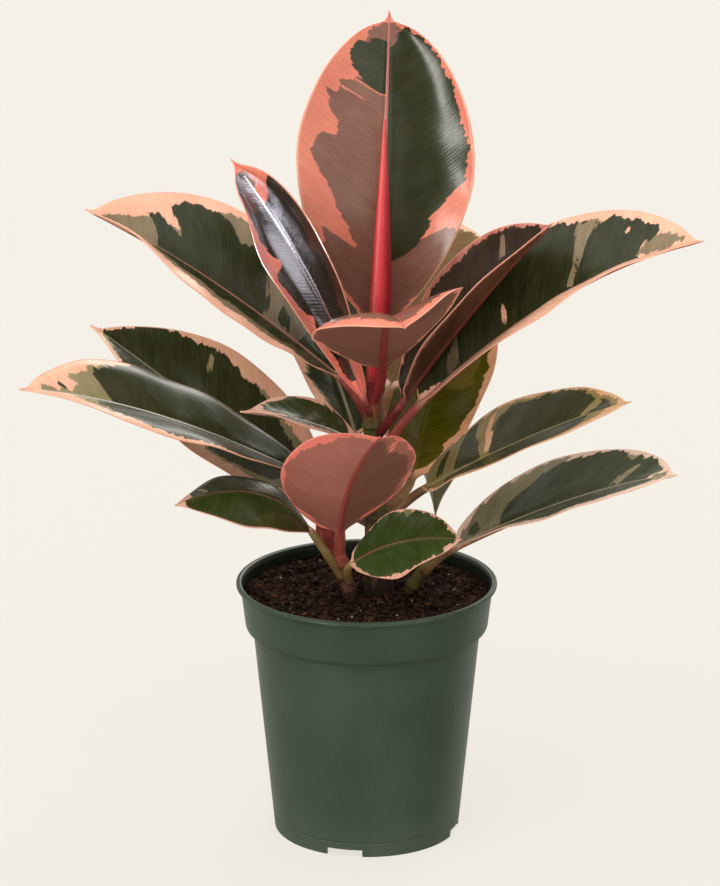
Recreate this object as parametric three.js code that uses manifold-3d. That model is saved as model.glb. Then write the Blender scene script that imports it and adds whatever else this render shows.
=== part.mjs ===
// A potted ruby rubber plant: a plastic grower's pot, its soil, three stems and their leaves.
// Millimetres, +Z up. The origin is on the pot's axis, at the level that the pot stands on.
// The front of the plant, which the curled pink leaves face, looks along -Y.
import * as THREE from 'three';
import { mergeVertices } from 'three/addons/utils/BufferGeometryUtils.js';
import Module from 'manifold-3d';

const wasm = await Module();
wasm.setup();

// Room between pieces that touch
const gap = 0.3;

// Pot: a round pot moulded from thin polypropylene
const pot = {
  height: 165,
  rimRadius: 82.5,
  beadHeight: 3.6,
  neckRadius: 79.7,
  bandFoot: 136.2,
  bandFootRadius: 76.8,
  bodyTop: 134,
  bodyTopRadius: 72,
  footRadius: 58.8,
  wall: 1.5,
  edge: 0.8,
  innerBevel: 2.4,
  floorLevel: 5.5,
  floor: 1.6,
  footWidth: 2.6,
  notches: 4,
  notchWidth: 23,
  notchHeight: 5,
  notchTurn: 14,
  drains: 6,
  drainRadius: 5,
  drainCircle: 40,
  sides: 48,
};

// The wall's inner shelf lies this much above the foot of the band
const bandShelf = 1.6;

// Soil: peat and bark, filled to just under the rim and heaped a little round the main stem
const soil = {
  level: 156.5,
  heap: 2,
  heapSpread: 30,
  lumps: 0.9,
  lumpWaves: { x: 0.21, y: 0.17, slant: [0.37, -0.29] },
  shoulder: 3,
  wallRoom: 0.5,
  sides: 40,
  rings: 8,
};

// Stems: the points of each centre line from its buried end up, and the radius at each point
const stems = {
  stem_main: {
    path: [[8, 1, 100], [8, 1, 158], [6, 2, 212], [4, 1, 262], [4, 0, 296]],
    radii: [7, 10, 8, 6.6, 5.6],
    rings: [176, 192, 207, 222, 238, 252, 267],
    colour: 0x6d6a3c,
  },
  stem_front: {
    path: [[-8, -12, 112], [-10, -17, 158], [-14, -22, 177], [-17, -29, 192]],
    radii: [3.6, 4.8, 4.6, 3.8],
    rings: [166, 177, 186],
    colour: 0x7a4a38,
  },
  stem_right: {
    path: [[23, 3, 116], [27, 0, 156], [32, -3, 168], [38, -7, 176]],
    radii: [3, 3.8, 3.6, 3.8],
    rings: [162],
    colour: 0x8c9442,
  },
};
const ringSwell = 0.7;
const ringSpan = 2.4;
const stemSides = 12;
const stemStep = 9;

// Sheath: the rolled red scale round the growing tip, at the top of the main stem
const sheath = {
  path: [[4, -1, 296.5], [8, -3, 341], [10, -3, 405], [11, 0, 464]],
  radii: [4.8, 6.9, 4.3, 0.7],
  sides: 12,
  steps: 16,
  colour: 0xd8434a,
};

// Leaves. base, middle and tip lie on the midrib. root is where the petiole leaves its stem.
// upper is where the upper face looks. left and right say how many degrees each half stands up
// from level, at the base and at the tip, and curl how many degrees more it turns by its margin.
const leaves = {
  leaf_crown: {
    stem: 'stem_main',
    root: [5, 5, 276], base: [8, 13, 326], middle: [11, 20, 424], tip: [14, 38, 524],
    upper: [0, -1, 0.1], width: 112, widest: 0.56, left: [8, 14], right: [8, 12], curl: [6, 6],
    baseRound: 0.85, tipRound: 0.56,
  },
  leaf_spear: {
    stem: 'stem_main',
    root: [4, 0, 272], base: [-1, -6, 284], middle: [-35, -4, 364], tip: [-84, 28, 432],
    upper: [0.2, -1, 0.5], width: 70, widest: 0.6, left: [44, 56], right: [80, 66], curl: [0, 6],
    baseRound: 1.1, tipRound: 0.72,
  },
  leaf_front_cup: {
    stem: 'stem_main',
    root: [4, 0, 281], base: [10, -22, 310], middle: [13, -96, 358], tip: [22, -172, 380],
    upper: [0.1, 0.4, 1], width: 98, widest: 0.49, left: [26, 28], right: [-2, -7], curl: [6, -10],
  },
  leaf_left_high: {
    stem: 'stem_main',
    root: [4, 2, 264], base: [-14, 3, 295], middle: [-97, 24, 354], tip: [-175, 20, 402],
    upper: [0, 0, 1], width: 99, widest: 0.53, left: [10, 14], right: [74, 48], curl: [-22, -8],
  },
  leaf_right_fold: {
    stem: 'stem_main',
    root: [4, 1, 257], base: [22, -10, 285], middle: [68, -4, 346], tip: [114, -14, 402],
    upper: [0, 0, 1], width: 75, widest: 0.53, left: [41, 58], right: [60, 14], curl: [-3, -24],
  },
  leaf_right_high: {
    stem: 'stem_main',
    root: [4, 1, 238], base: [30, -10, 281], middle: [120, -4, 352], tip: [206, -34, 396],
    upper: [0, 0, 1], width: 96, widest: 0.52, left: [58, 50], right: [18, 4], curl: [2, -22],
  },
  leaf_left_inner: {
    stem: 'stem_main',
    root: [4, 2, 240], base: [-6, -11, 260], middle: [-41, -28, 279], tip: [-78, -44, 290],
    upper: [0, 0, 1], width: 49, widest: 0.5, left: [0, 22], right: [62, -10], curl: [-14, 0],
  },
  leaf_left_long: {
    stem: 'stem_main',
    root: [6, 2, 212], base: [-26, -12, 231], middle: [-123, -46, 286], tip: [-210, -92, 319],
    upper: [0, 0, 1], width: 83, widest: 0.55, left: [14, 5], right: [28, 36], curl: [-26, -4],
  },
  leaf_left_mid: {
    stem: 'stem_main',
    root: [6, 3, 200], base: [-24, 22, 211], middle: [-94, 22, 265], tip: [-173, 20, 327],
    upper: [0, 0, 1], width: 93, widest: 0.54, left: [-18, -4], right: [60, 38], curl: [-14, 3],
  },
  leaf_right_mid: {
    stem: 'stem_main',
    root: [6, 2, 194], base: [35, -7, 227], middle: [97, -36, 269], tip: [161, -72, 305],
    upper: [0, 0, 1], width: 78, widest: 0.51, left: [56, 26], right: [-4, -10], curl: [-12, 8],
  },
  leaf_right_low: {
    stem: 'stem_right',
    root: [36, -6, 173], base: [53, -14, 190], middle: [127, -30, 228], tip: [189, -82, 261],
    upper: [0, 0, 1], width: 79, widest: 0.49, left: [54, 34], right: [24, -10], curl: [-12, -13],
  },
  leaf_left_low: {
    stem: 'stem_front',
    root: [-15, -22, 174], base: [-34, -40, 210], middle: [-69, -54, 240], tip: [-118, -68, 237],
    upper: [0, 0, 1], width: 58, widest: 0.52, left: [-21, -24], right: [26, 6], curl: [-16, -18],
  },
  leaf_front_pink: {
    stem: 'stem_front',
    root: [-17, -28, 190], base: [-17, -35, 208], middle: [-9, -71, 255], tip: [8, -112, 295],
    upper: [0, 0.6, 0.7], width: 86, widest: 0.46, left: [22, 34], right: [2, 28], curl: [-12, -7],
  },
  leaf_front_small: {
    stem: 'stem_front',
    root: [-11, -20, 171], base: [-10, -35, 187], middle: [21, -50, 207], tip: [59, -60, 212],
    upper: [0, -0.6, 0.8], width: 48, widest: 0.51, left: [11, 0], right: [-4, 10], curl: [-3, -11],
  },
  scale_front: {
    stem: 'stem_front',
    root: [-14, -22, 176], base: [-17, -21, 185], middle: [-22, -21, 203], tip: [-28, -22, 222],
    upper: [0.1, -1, 0.3], width: 16, widest: 0.62, left: [10, 16], right: [10, 16], curl: [6, 6],
  },
  leaf_back_left: {
    stem: 'stem_main',
    root: [5, 2, 230], base: [-6, 18, 252], middle: [-30, 66, 306], tip: [-58, 122, 342],
    upper: [0.2, -0.6, 1], width: 60, widest: 0.52, left: [20, 20], right: [24, 20], curl: [4, 4],
    baseRound: 0.6,
  },
  leaf_back_up: {
    stem: 'stem_main',
    root: [4, 2, 258], base: [14, 24, 282], middle: [36, 78, 330], tip: [60, 142, 363],
    upper: [0, -0.6, 1], width: 84, widest: 0.54, left: [16, 16], right: [16, 16], curl: [4, 4],
  },
  leaf_back_right: {
    stem: 'stem_main',
    root: [6, 3, 206], base: [34, 24, 226], middle: [45, 88, 286], tip: [50, 168, 322],
    upper: [0, -0.6, 1], width: 80, widest: 0.5, left: [24, 20], right: [16, 12], curl: [4, 4],
  },
  leaf_back_droop: {
    stem: 'stem_main',
    root: [5, 3, 218], base: [24, 40, 232], middle: [44, 80, 226], tip: [50, 88, 176],
    upper: [0.5, 0.3, 1], width: 42, widest: 0.5, left: [10, 10], right: [10, 10], curl: [0, 0],
  },
};

// What every leaf shares
const blade = {
  middleThickness: 1.0,
  marginThickness: 0.6,
  baseRound: 0.75,
  tipRound: 0.72,
  dripStart: 0.965,
  dripHalf: 1.2,
  tipHalf: 0.4,
  ribDepth: 2.0,
  ribHalf: 1.9,
  ribTaper: 0.3,
  ribShoulder: { out: 0.8, depth: 0.5 },
  petioleRadius: 2.9,
  petioleFlare: [1.15, 0.95],
  petioleSeam: 8,
  slimmest: 0.6,
  stoutFromWidth: 80,
  petioleSteps: 4,
  petioleBend: 0.3,
  wave: 1.2,
  waves: 2.5,
  leftPhase: 0.2,
  rightPhase: 0.55,
  stations: [0.02, 0.06, 0.12, 0.2, 0.3, 0.4, 0.5, 0.6, 0.7, 0.8, 0.88, 0.94, 0.975, 1],
  columns: [0.5, 1],
};

const vec = (p) => new THREE.Vector3(...p);
const mix = (a, b, t) => a + (b - a) * t;
const radians = THREE.MathUtils.degToRad;

// A closed geometry becomes a solid that booleans can cut
function solidOf(geometry) {
  const bare = geometry.clone();
  bare.deleteAttribute('normal');
  bare.deleteAttribute('uv');
  const merged = mergeVertices(bare, 1e-4);
  const mesh = new wasm.Mesh({
    numProp: 3,
    vertProperties: new Float32Array(merged.attributes.position.array),
    triVerts: new Uint32Array(merged.index.array),
  });
  return new wasm.Manifold(mesh);
}

function geometryOf(solid) {
  const mesh = solid.getMesh();
  const geometry = new THREE.BufferGeometry();
  geometry.setAttribute('position', new THREE.BufferAttribute(new Float32Array(mesh.vertProperties), 3));
  geometry.setIndex(new THREE.BufferAttribute(new Uint32Array(mesh.triVerts), 1));
  geometry.computeVertexNormals();
  return geometry;
}

// Skin over rings of points that all have the same count, with a flat fan on each end.
// slantsIn picks the diagonal that the strip from point j to the next is split along.
function skinRings(rings, slantsIn) {
  const count = rings[0].length;
  const positions = rings.flat().flatMap((p) => [p.x, p.y, p.z]);
  const faces = [];
  for (let i = 0; i + 1 < rings.length; i += 1) {
    for (let j = 0; j < count; j += 1) {
      const next = (j + 1) % count;
      const a = i * count + j;
      const b = i * count + next;
      const c = a + count;
      const d = b + count;
      if (slantsIn(j)) {
        faces.push(a, b, d, a, d, c);
      } else {
        faces.push(a, b, c, b, d, c);
      }
    }
  }
  const last = (rings.length - 1) * count;
  for (let j = 1; j + 1 < count; j += 1) {
    faces.push(0, j + 1, j);
    faces.push(last, last + j, last + j + 1);
  }
  const geometry = new THREE.BufferGeometry();
  geometry.setAttribute('position', new THREE.Float32BufferAttribute(positions, 3));
  geometry.setIndex(faces);
  return geometry;
}

// A round bar of changing radius along a smooth curve
function barAlong(path, radiusAt, sides, steps) {
  const curve = new THREE.CatmullRomCurve3(path);
  const rings = [];
  for (let i = 0; i <= steps; i += 1) {
    const t = i / steps;
    const centre = curve.getPointAt(t);
    const along = curve.getTangentAt(t);
    const across = new THREE.Vector3(0, 1, 0).cross(along).normalize();
    const toBack = along.clone().cross(across);
    const radius = radiusAt(t, centre);
    const ring = [];
    for (let j = 0; j < sides; j += 1) {
      const angle = (2 * Math.PI * j) / sides;
      ring.push(
        centre.clone()
          .addScaledVector(across, radius * Math.cos(angle))
          .addScaledVector(toBack, radius * Math.sin(angle)),
      );
    }
    rings.push(ring);
  }
  return skinRings(rings, () => true);
}

function between(values, t) {
  const place = t * (values.length - 1);
  const index = Math.min(Math.floor(place), values.length - 2);
  return mix(values[index], values[index + 1], place - index);
}

// A stem with a low swelling at each old leaf ring; extra widens and lengthens it all over
function stemSolid(stem, extra = 0) {
  const path = stem.path.map(vec);
  const [before, end] = path.slice(-2);
  end.addScaledVector(end.clone().sub(before).normalize(), extra);
  const radiusAt = (t, centre) => {
    let radius = between(stem.radii, t) + extra;
    for (const level of stem.rings) {
      radius += ringSwell * Math.exp(-(((centre.z - level) / ringSpan) ** 2));
    }
    return radius;
  };
  const steps = Math.round(new THREE.CatmullRomCurve3(path).getLength() / stemStep);
  return solidOf(barAlong(path, radiusAt, stemSides, steps));
}

// Half the blade's width, at a part u of the way from base to tip
function halfWidth(leaf, u) {
  const rising = u < leaf.widest;
  const fall = (blade.dripStart - u) / (blade.dripStart - leaf.widest);
  const part = rising ? u / leaf.widest : Math.max(fall, 0);
  const { baseRound = blade.baseRound, tipRound = blade.tipRound } = leaf;
  const swell = Math.sin((Math.PI / 2) * part) ** (rising ? baseRound : tipRound);
  const drip = mix(blade.tipHalf, blade.dripHalf, Math.min((1 - u) / (1 - blade.dripStart), 1));
  return Math.hypot((leaf.width / 2) * swell, drip);
}

// Midrib: one even bend through base, middle and tip
function midribOf(leaf) {
  const [base, middle, tip] = [leaf.base, leaf.middle, leaf.tip].map(vec);
  const control = middle.multiplyScalar(2).addScaledVector(base, -0.5).addScaledVector(tip, -0.5);
  return new THREE.QuadraticBezierCurve3(base, control, tip);
}

// Petiole: from the stem's centre line, turning into the line of the midrib
function petioleOf(leaf, midrib) {
  const root = vec(leaf.root);
  const base = vec(leaf.base);
  const reach = root.distanceTo(base);
  const control = base.clone().addScaledVector(midrib.getTangent(0), -blade.petioleBend * reach);
  return new THREE.QuadraticBezierCurve3(root, control, base);
}

// Across and up at a place on a leaf whose line runs along the given way
function squareTo(along, upper) {
  const up = upper.clone().addScaledVector(along, -upper.dot(along)).normalize();
  const across = along.clone().cross(up);
  return { across, up };
}

const ribHalfAt = (u) => blade.ribHalf * mix(1, blade.ribTaper, u);

// A point of the blade: side is -1 on the left, out runs from the rib, 0, to the margin, 1,
// and lift is the height above the middle of the blade's thickness
function bladePoint(leaf, place, u, side, out, lift) {
  const half = halfWidth(leaf, u);
  const reach = mix(Math.min(ribHalfAt(u), half), half, out);
  const [low, high] = side < 0 ? leaf.left : leaf.right;
  const curl = side < 0 ? leaf.curl[0] : leaf.curl[1];
  const angle = radians(mix(low, high, u) + (curl * reach) / leaf.width);
  const phase = side < 0 ? blade.leftPhase : blade.rightPhase;
  const wave = blade.wave * out * out * Math.sin(2 * Math.PI * (blade.waves * u + phase));
  return place.centre.clone()
    .addScaledVector(place.across, side * reach * Math.cos(angle) - side * (wave + lift) * Math.sin(angle))
    .addScaledVector(place.up, reach * Math.sin(angle) + (wave + lift) * Math.cos(angle));
}

// One ring round the blade: the upper face from left to right, then the lower face with its rib
function bladeRing(leaf, place, u) {
  const outs = blade.columns;
  const thick = (out) => mix(blade.middleThickness, blade.marginThickness, out) / 2;
  const rib = Math.min(ribHalfAt(u), halfWidth(leaf, u));
  const ribDepth = blade.ribDepth * mix(1, blade.ribTaper, u);
  const ring = [];
  for (const out of [...outs].reverse()) {
    ring.push(bladePoint(leaf, place, u, -1, out, thick(out)));
  }
  ring.push(place.centre.clone().addScaledVector(place.up, thick(0)));
  for (const out of outs) {
    ring.push(bladePoint(leaf, place, u, 1, out, thick(out)));
  }
  for (const out of [...outs].reverse()) {
    ring.push(bladePoint(leaf, place, u, 1, out, -thick(out)));
  }
  const { out: shoulder, depth: shallow } = blade.ribShoulder;
  for (const [side, depth] of [[shoulder, shallow], [0, 1], [-shoulder, shallow]]) {
    ring.push(
      place.centre.clone()
        .addScaledVector(place.across, side * rib)
        .addScaledVector(place.up, -thick(0) - ribDepth * depth),
    );
  }
  for (const out of outs) {
    ring.push(bladePoint(leaf, place, u, -1, out, -thick(out)));
  }
  return ring;
}

// One ring round the petiole, with its points in the order of the blade's
function petioleRing(place, radius) {
  const upperPoints = 2 * blade.columns.length + 1;
  const lowerPoints = upperPoints + 2;
  const seam = blade.petioleSeam;
  const angles = [];
  for (let j = 0; j < upperPoints; j += 1) {
    angles.push(radians(mix(180 - seam, seam, j / (upperPoints - 1))));
  }
  for (let j = 0; j < lowerPoints; j += 1) {
    angles.push(radians(mix(-seam, seam - 180, j / (lowerPoints - 1))));
  }
  return angles.map((angle) => place.centre.clone()
    .addScaledVector(place.across, radius * Math.cos(angle))
    .addScaledVector(place.up, radius * Math.sin(angle)));
}

// A leaf: petiole, blade and the rib under it, in one closed skin
function leafSolid(leaf) {
  const midrib = midribOf(leaf);
  const petiole = petioleOf(leaf, midrib);
  const upper = vec(leaf.upper);
  const breadth = Math.min(leaf.width / blade.stoutFromWidth, 1);
  const stout = blade.petioleRadius * mix(blade.slimmest, 1, breadth);
  const [flare, neck] = blade.petioleFlare;
  const rings = [];
  for (let i = 0; i < blade.petioleSteps; i += 1) {
    const t = i / blade.petioleSteps;
    const along = petiole.getTangent(t);
    const place = { centre: petiole.getPoint(t), ...squareTo(along, upper) };
    rings.push(petioleRing(place, stout * mix(flare, neck, t)));
  }
  for (const u of blade.stations) {
    const along = midrib.getTangent(u);
    const place = { centre: midrib.getPoint(u), ...squareTo(along, upper) };
    rings.push(bladeRing(leaf, place, u));
  }
  // Both faces of a half are split along the same diagonals
  const columns = blade.columns.length;
  const slantsIn = (j) => j < columns || (j > 2 * columns && j <= 3 * columns);
  return solidOf(skinRings(rings, slantsIn));
}

// The pot's half section, from under the middle of its floor, up the outside and down the inside
function potProfile() {
  const p = pot;
  const top = p.height;
  const beadFoot = top - p.beadHeight;
  const inside = (radius) => radius - p.wall;
  const points = [
    [0, p.floorLevel],
    [p.footRadius - p.footWidth, p.floorLevel],
    [p.footRadius - p.footWidth + p.edge / 2, 0],
    [p.footRadius - p.edge, 0],
    [p.footRadius, p.edge],
    [p.bodyTopRadius, p.bodyTop],
    [p.bandFootRadius - p.edge, p.bandFoot - p.edge],
    [p.bandFootRadius, p.bandFoot + p.edge],
    [p.neckRadius, beadFoot],
    [p.rimRadius - p.edge, beadFoot + p.edge / 2],
    [p.rimRadius, beadFoot + 1.5 * p.edge],
    [p.rimRadius, top - p.edge],
    [p.rimRadius - p.edge, top],
    [p.neckRadius, top],
    [inside(p.neckRadius), top - p.innerBevel],
    [inside(p.bandFootRadius), p.bandFoot + bandShelf],
    [inside(p.bodyTopRadius), p.bodyTop],
    [inside(p.footRadius) + p.edge, p.floorLevel + p.floor + 2 * p.edge],
    [inside(p.footRadius) - p.edge, p.floorLevel + p.floor],
    [0, p.floorLevel + p.floor],
  ];
  return points.map(([radius, z]) => new THREE.Vector2(radius, z));
}

function lathed(profile, sides) {
  const geometry = new THREE.LatheGeometry(profile, sides);
  geometry.rotateX(Math.PI / 2);
  return geometry;
}

function potGeometry() {
  let body = solidOf(lathed(potProfile(), pot.sides));
  for (let i = 0; i < pot.notches; i += 1) {
    const notch = new THREE.BoxGeometry(pot.notchWidth, 4 * pot.footWidth, 2 * pot.notchHeight);
    notch.translate(0, -pot.footRadius + pot.footWidth / 2, 0);
    notch.rotateZ(-radians(pot.notchTurn) + (2 * Math.PI * i) / pot.notches);
    body = body.subtract(solidOf(notch));
  }
  for (let i = 0; i < pot.drains; i += 1) {
    const drain = new THREE.CylinderGeometry(pot.drainRadius, pot.drainRadius, 4 * pot.floorLevel, 10);
    drain.rotateX(Math.PI / 2);
    drain.translate(0, -pot.drainCircle, 0);
    drain.rotateZ((2 * Math.PI * i) / pot.drains);
    body = body.subtract(solidOf(drain));
  }
  return geometryOf(body);
}

// Height of the soil: a low heap round the stem, with slow lumps
function soilHeight(x, y) {
  const heap = soil.heap * Math.exp(-((x - 8) ** 2 + (y - 8) ** 2) / soil.heapSpread ** 2);
  const { x: alongX, y: alongY, slant } = soil.lumpWaves;
  const broad = Math.sin(alongX * x + 1.3) * Math.cos(alongY * y + 0.4);
  const small = 0.6 * Math.sin(slant[0] * x + slant[1] * y);
  return soil.level + heap + soil.lumps * (broad + small);
}

function soilSolid() {
  const p = pot;
  const inside = (radius) => radius - p.wall - soil.wallRoom;
  const bottom = p.floorLevel + p.floor + gap;
  const shelf = p.bandFoot + bandShelf + soil.wallRoom;
  const wallAt = (z) => mix(
    inside(p.bandFootRadius),
    inside(p.neckRadius),
    (z - shelf) / (p.height - p.beadHeight - shelf),
  );
  const shoulder = soil.level - soil.shoulder;
  const profile = [
    [0, bottom],
    [inside(p.footRadius) - p.edge, bottom],
    [inside(p.footRadius) + p.edge, bottom + 2 * p.edge],
    [inside(p.bodyTopRadius), p.bodyTop],
    [inside(p.bandFootRadius), shelf],
    [wallAt(shoulder), shoulder],
  ];
  for (let i = soil.rings; i >= 0; i -= 1) {
    profile.push([(wallAt(soil.level) * i) / soil.rings, soil.level]);
  }
  const geometry = lathed(profile.map(([radius, z]) => new THREE.Vector2(radius, z)), soil.sides);
  const place = geometry.attributes.position;
  for (let i = 0; i < place.count; i += 1) {
    if (place.getZ(i) > soil.level - 0.5) {
      place.setZ(i, soilHeight(place.getX(i), place.getY(i)));
    }
  }
  return solidOf(geometry);
}

const group = new THREE.Group();

function addPiece(name, geometry, colour, roughness) {
  const material = new THREE.MeshStandardMaterial({ color: colour, roughness, metalness: 0 });
  const mesh = new THREE.Mesh(geometry, material);
  mesh.name = name;
  group.add(mesh);
}

addPiece('pot', potGeometry(), 0x35493a, 0.45);

let ground = soilSolid();
for (const [name, stem] of Object.entries(stems)) {
  ground = ground.subtract(stemSolid(stem, gap));
  addPiece(name, geometryOf(stemSolid(stem)), stem.colour, 0.7);
}
addPiece('soil', geometryOf(ground), 0x33241b, 0.95);

const sheathRadius = (t) => between(sheath.radii, t);
const sheathBar = barAlong(sheath.path.map(vec), sheathRadius, sheath.sides, sheath.steps);
addPiece('bud_sheath', sheathBar, sheath.colour, 0.4);

for (const [name, leaf] of Object.entries(leaves)) {
  const carrier = stemSolid(stems[leaf.stem], gap);
  const solid = leafSolid(leaf).subtract(carrier);
  addPiece(name, geometryOf(solid), 0x3b4a35, 0.4);
}

export default group;
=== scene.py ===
import math
import random

import bmesh
import bpy
import numpy as np
from mathutils import Euler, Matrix, Quaternion, Vector, noise


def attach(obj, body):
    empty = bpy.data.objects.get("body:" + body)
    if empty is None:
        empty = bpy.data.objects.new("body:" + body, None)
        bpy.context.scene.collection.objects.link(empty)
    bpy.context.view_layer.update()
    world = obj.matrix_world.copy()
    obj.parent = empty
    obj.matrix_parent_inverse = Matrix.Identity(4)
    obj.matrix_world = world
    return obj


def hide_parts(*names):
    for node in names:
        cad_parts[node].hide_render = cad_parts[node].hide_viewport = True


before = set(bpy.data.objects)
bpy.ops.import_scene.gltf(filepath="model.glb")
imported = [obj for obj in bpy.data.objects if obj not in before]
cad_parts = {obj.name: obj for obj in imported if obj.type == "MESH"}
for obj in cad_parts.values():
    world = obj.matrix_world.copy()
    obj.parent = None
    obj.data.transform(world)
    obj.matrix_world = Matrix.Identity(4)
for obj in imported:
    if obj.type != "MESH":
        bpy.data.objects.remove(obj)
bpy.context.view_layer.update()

print("frame loaded:", len(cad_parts), "nodes")

# Every size below is in millimetres, and pieces are written out in metres
mm = 0.001


def mix(a, b, t):
    return a + (b - a) * t


def smooth(low, high, x):
    t = np.clip((x - low) / (high - low), 0, 1)
    return t * t * (3 - 2 * t)


def unit(vectors):
    return vectors / np.linalg.norm(vectors, axis=-1, keepdims=True)


def linear(hexColour):
    parts = [int(hexColour[i:i + 2], 16) / 255 for i in (1, 3, 5)]
    return tuple(c / 12.92 if c <= 0.04045 else ((c + 0.055) / 1.055) ** 2.4 for c in parts) + (1.0,)


def perMetre(size):
    # A texture's scale, from the real size of its grain in millimetres
    return 1 / (size * mm)


def addNode(tree, kind, inputs=(), out=0, stops=None, **settings):
    # inputs is a list for the first sockets in turn, or a dictionary by name or number
    made = tree.nodes.new("ShaderNode" + kind)
    if kind == "Mix":
        made.data_type, out = "RGBA", 2
    for key, value in settings.items():
        setattr(made, key, value)
    named = inputs if isinstance(inputs, dict) else dict(enumerate(inputs))
    for key, value in named.items():
        if isinstance(value, bpy.types.NodeSocket):
            tree.links.new(value, made.inputs[key])
        else:
            made.inputs[key].default_value = value
    if stops:
        while len(made.color_ramp.elements) < len(stops):
            made.color_ramp.elements.new(1.0)
        for element, (position, colour) in zip(made.color_ramp.elements, stops):
            element.position = position
            element.color = linear(colour)
    return made.outputs[out]


def newFinish(name, sockets):
    material = bpy.data.materials.new(name)
    material.use_nodes = True
    shader = material.node_tree.nodes["Principled BSDF"]
    for key, value in sockets.items():
        shader.inputs[key].default_value = value
    return material, material.node_tree, shader


def dressSkin(tree, skin, colour, roughness, height, relief, strength):
    # Links a finish's colour, its gloss and its fine relief to the shader
    bump = addNode(tree, "Bump", {"Height": height, "Distance": relief * mm, "Strength": strength})
    for key, value in (("Base Color", colour), ("Roughness", roughness), ("Normal", bump)):
        tree.links.new(value, skin.inputs[key])


def putInScene(name, data):
    made = bpy.data.objects.new(name, data)
    bpy.context.scene.collection.objects.link(made)
    return made


def makePiece(name, points, faces, material, stands, fields=None):
    mesh = bpy.data.meshes.new(name)
    mesh.from_pydata((np.asarray(points) * mm).tolist(), [], faces)
    mesh.validate()
    for key, values in (fields or {}).items():
        field = mesh.attributes.new(key, "FLOAT", "POINT")
        field.data.foreach_set("value", np.asarray(values, np.float32).ravel())
    mesh.shade_smooth()
    mesh.materials.append(material)
    piece = putInScene(name, mesh)
    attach(piece, "root")
    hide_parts(*stands)
    return piece


def ringFaces(rings, count, closed=True):
    # Quads between rings of points, and one flat face on each closed end
    faces = []
    for i in range(rings - 1):
        for j in range(count):
            k = (j + 1) % count
            faces.append((i * count + j, i * count + k, (i + 1) * count + k, (i + 1) * count + j))
    if closed:
        faces.append(tuple(reversed(range(count))))
        faces.append(tuple((rings - 1) * count + j for j in range(count)))
    return faces


# Camera: the photograph's height, pitch and framing
cameraPlace = {"x": -4.23, "away": 2900.0, "height": 1168.8, "pitch": 17.475, "lens": 197.12, "sensor": 36.0}
lens = bpy.data.cameras.new("studioCamera")
lens.lens = cameraPlace["lens"]
lens.sensor_width = cameraPlace["sensor"]
lens.clip_end = 100.0
camera = putInScene("studioCamera", lens)
camera.location = (cameraPlace["x"] * mm, -cameraPlace["away"] * mm, cameraPlace["height"] * mm)
camera.rotation_euler = (math.radians(90 - cameraPlace["pitch"]), 0, 0)
bpy.context.scene.camera = camera

# Studio: a pale lit sweep, and a dim tent with white boxes in it for the leaves to mirror. turn is
# measured from the camera's side, to the right. Two broad bounced lights give the shading.
studio = {
    "tent": "#F4F1EA", "strength": 0.2,
    "floor": "#F4F0E7", "floorSize": 30000.0, "floorMottle": 333.3, "floorAlbedo": 0.13,
    "floorGlow": 0.805, "floorGrain": 1.02,
}
softboxes = [  # turn, height, half width and half height in degrees, and light
    (-88, 46, 32, 20, 1.2),
    (-38, -3, 5, 9, 14.0),
    (-40, 0, 17, 14, 0.55),
    (28, -2, 26, 18, 1.1),
    (58, 52, 34, 12, 1.1),
    (125, 60, 14, 8, 2.4),
    (159, 28, 9, 10, 5.0),
    (180, 18, 60, 4, 0.8),
    (180, -10, 80, 12, 0.45),
    (140, 40, 9, 6, 2.6),
    (142, -25, 38, 10, 0.4),
    (-128, -25, 55, 10, 0.36),
]
boxEdge = (0.7, 1.3)  # a box fades out between these parts of its half width
spearStrip = {
    "turn": -15, "height": 22, "wide": 760, "tall": 2700, "away": 2000, "light": 900, "lean": -32,
    "colour": "#F2F0FF", "aim": (-35, -4, 364),
}
bounced = {
    "keyLight": {"light": 2.1, "angle": 70, "turn": (38, -20, 0)},
    "topLight": {"light": 1.3, "angle": 80, "turn": (-30, 5, 0)},
}


def wayTo(turn, height):
    turn, height = math.radians(turn), math.radians(height)
    return Vector((math.sin(turn) * math.cos(height), -math.cos(turn) * math.cos(height), math.sin(height)))


def softbox(tree, way, turn, height, wide, tall, light):
    ahead = wayTo(turn, height)
    side = ahead.cross(Vector((0, 0, 1))).normalized()
    shape = addNode(tree, "VectorMath", [way, ahead], out="Value", operation="DOT_PRODUCT")
    shape = addNode(tree, "Math", [shape, 0.0], operation="GREATER_THAN")
    for axis, size in ((side, wide), (side.cross(ahead), tall)):
        fades = [part * math.sin(math.radians(size)) for part in boxEdge]
        off = addNode(tree, "VectorMath", [way, axis], out="Value", operation="DOT_PRODUCT")
        off = addNode(tree, "Math", [off], operation="ABSOLUTE")
        edge = addNode(tree, "MapRange", [off, *fades, 1.0, 0.0], interpolation_type="SMOOTHSTEP")
        shape = addNode(tree, "Math", [shape, edge], operation="MULTIPLY")
    return addNode(tree, "Math", [shape, light], operation="MULTIPLY")


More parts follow.
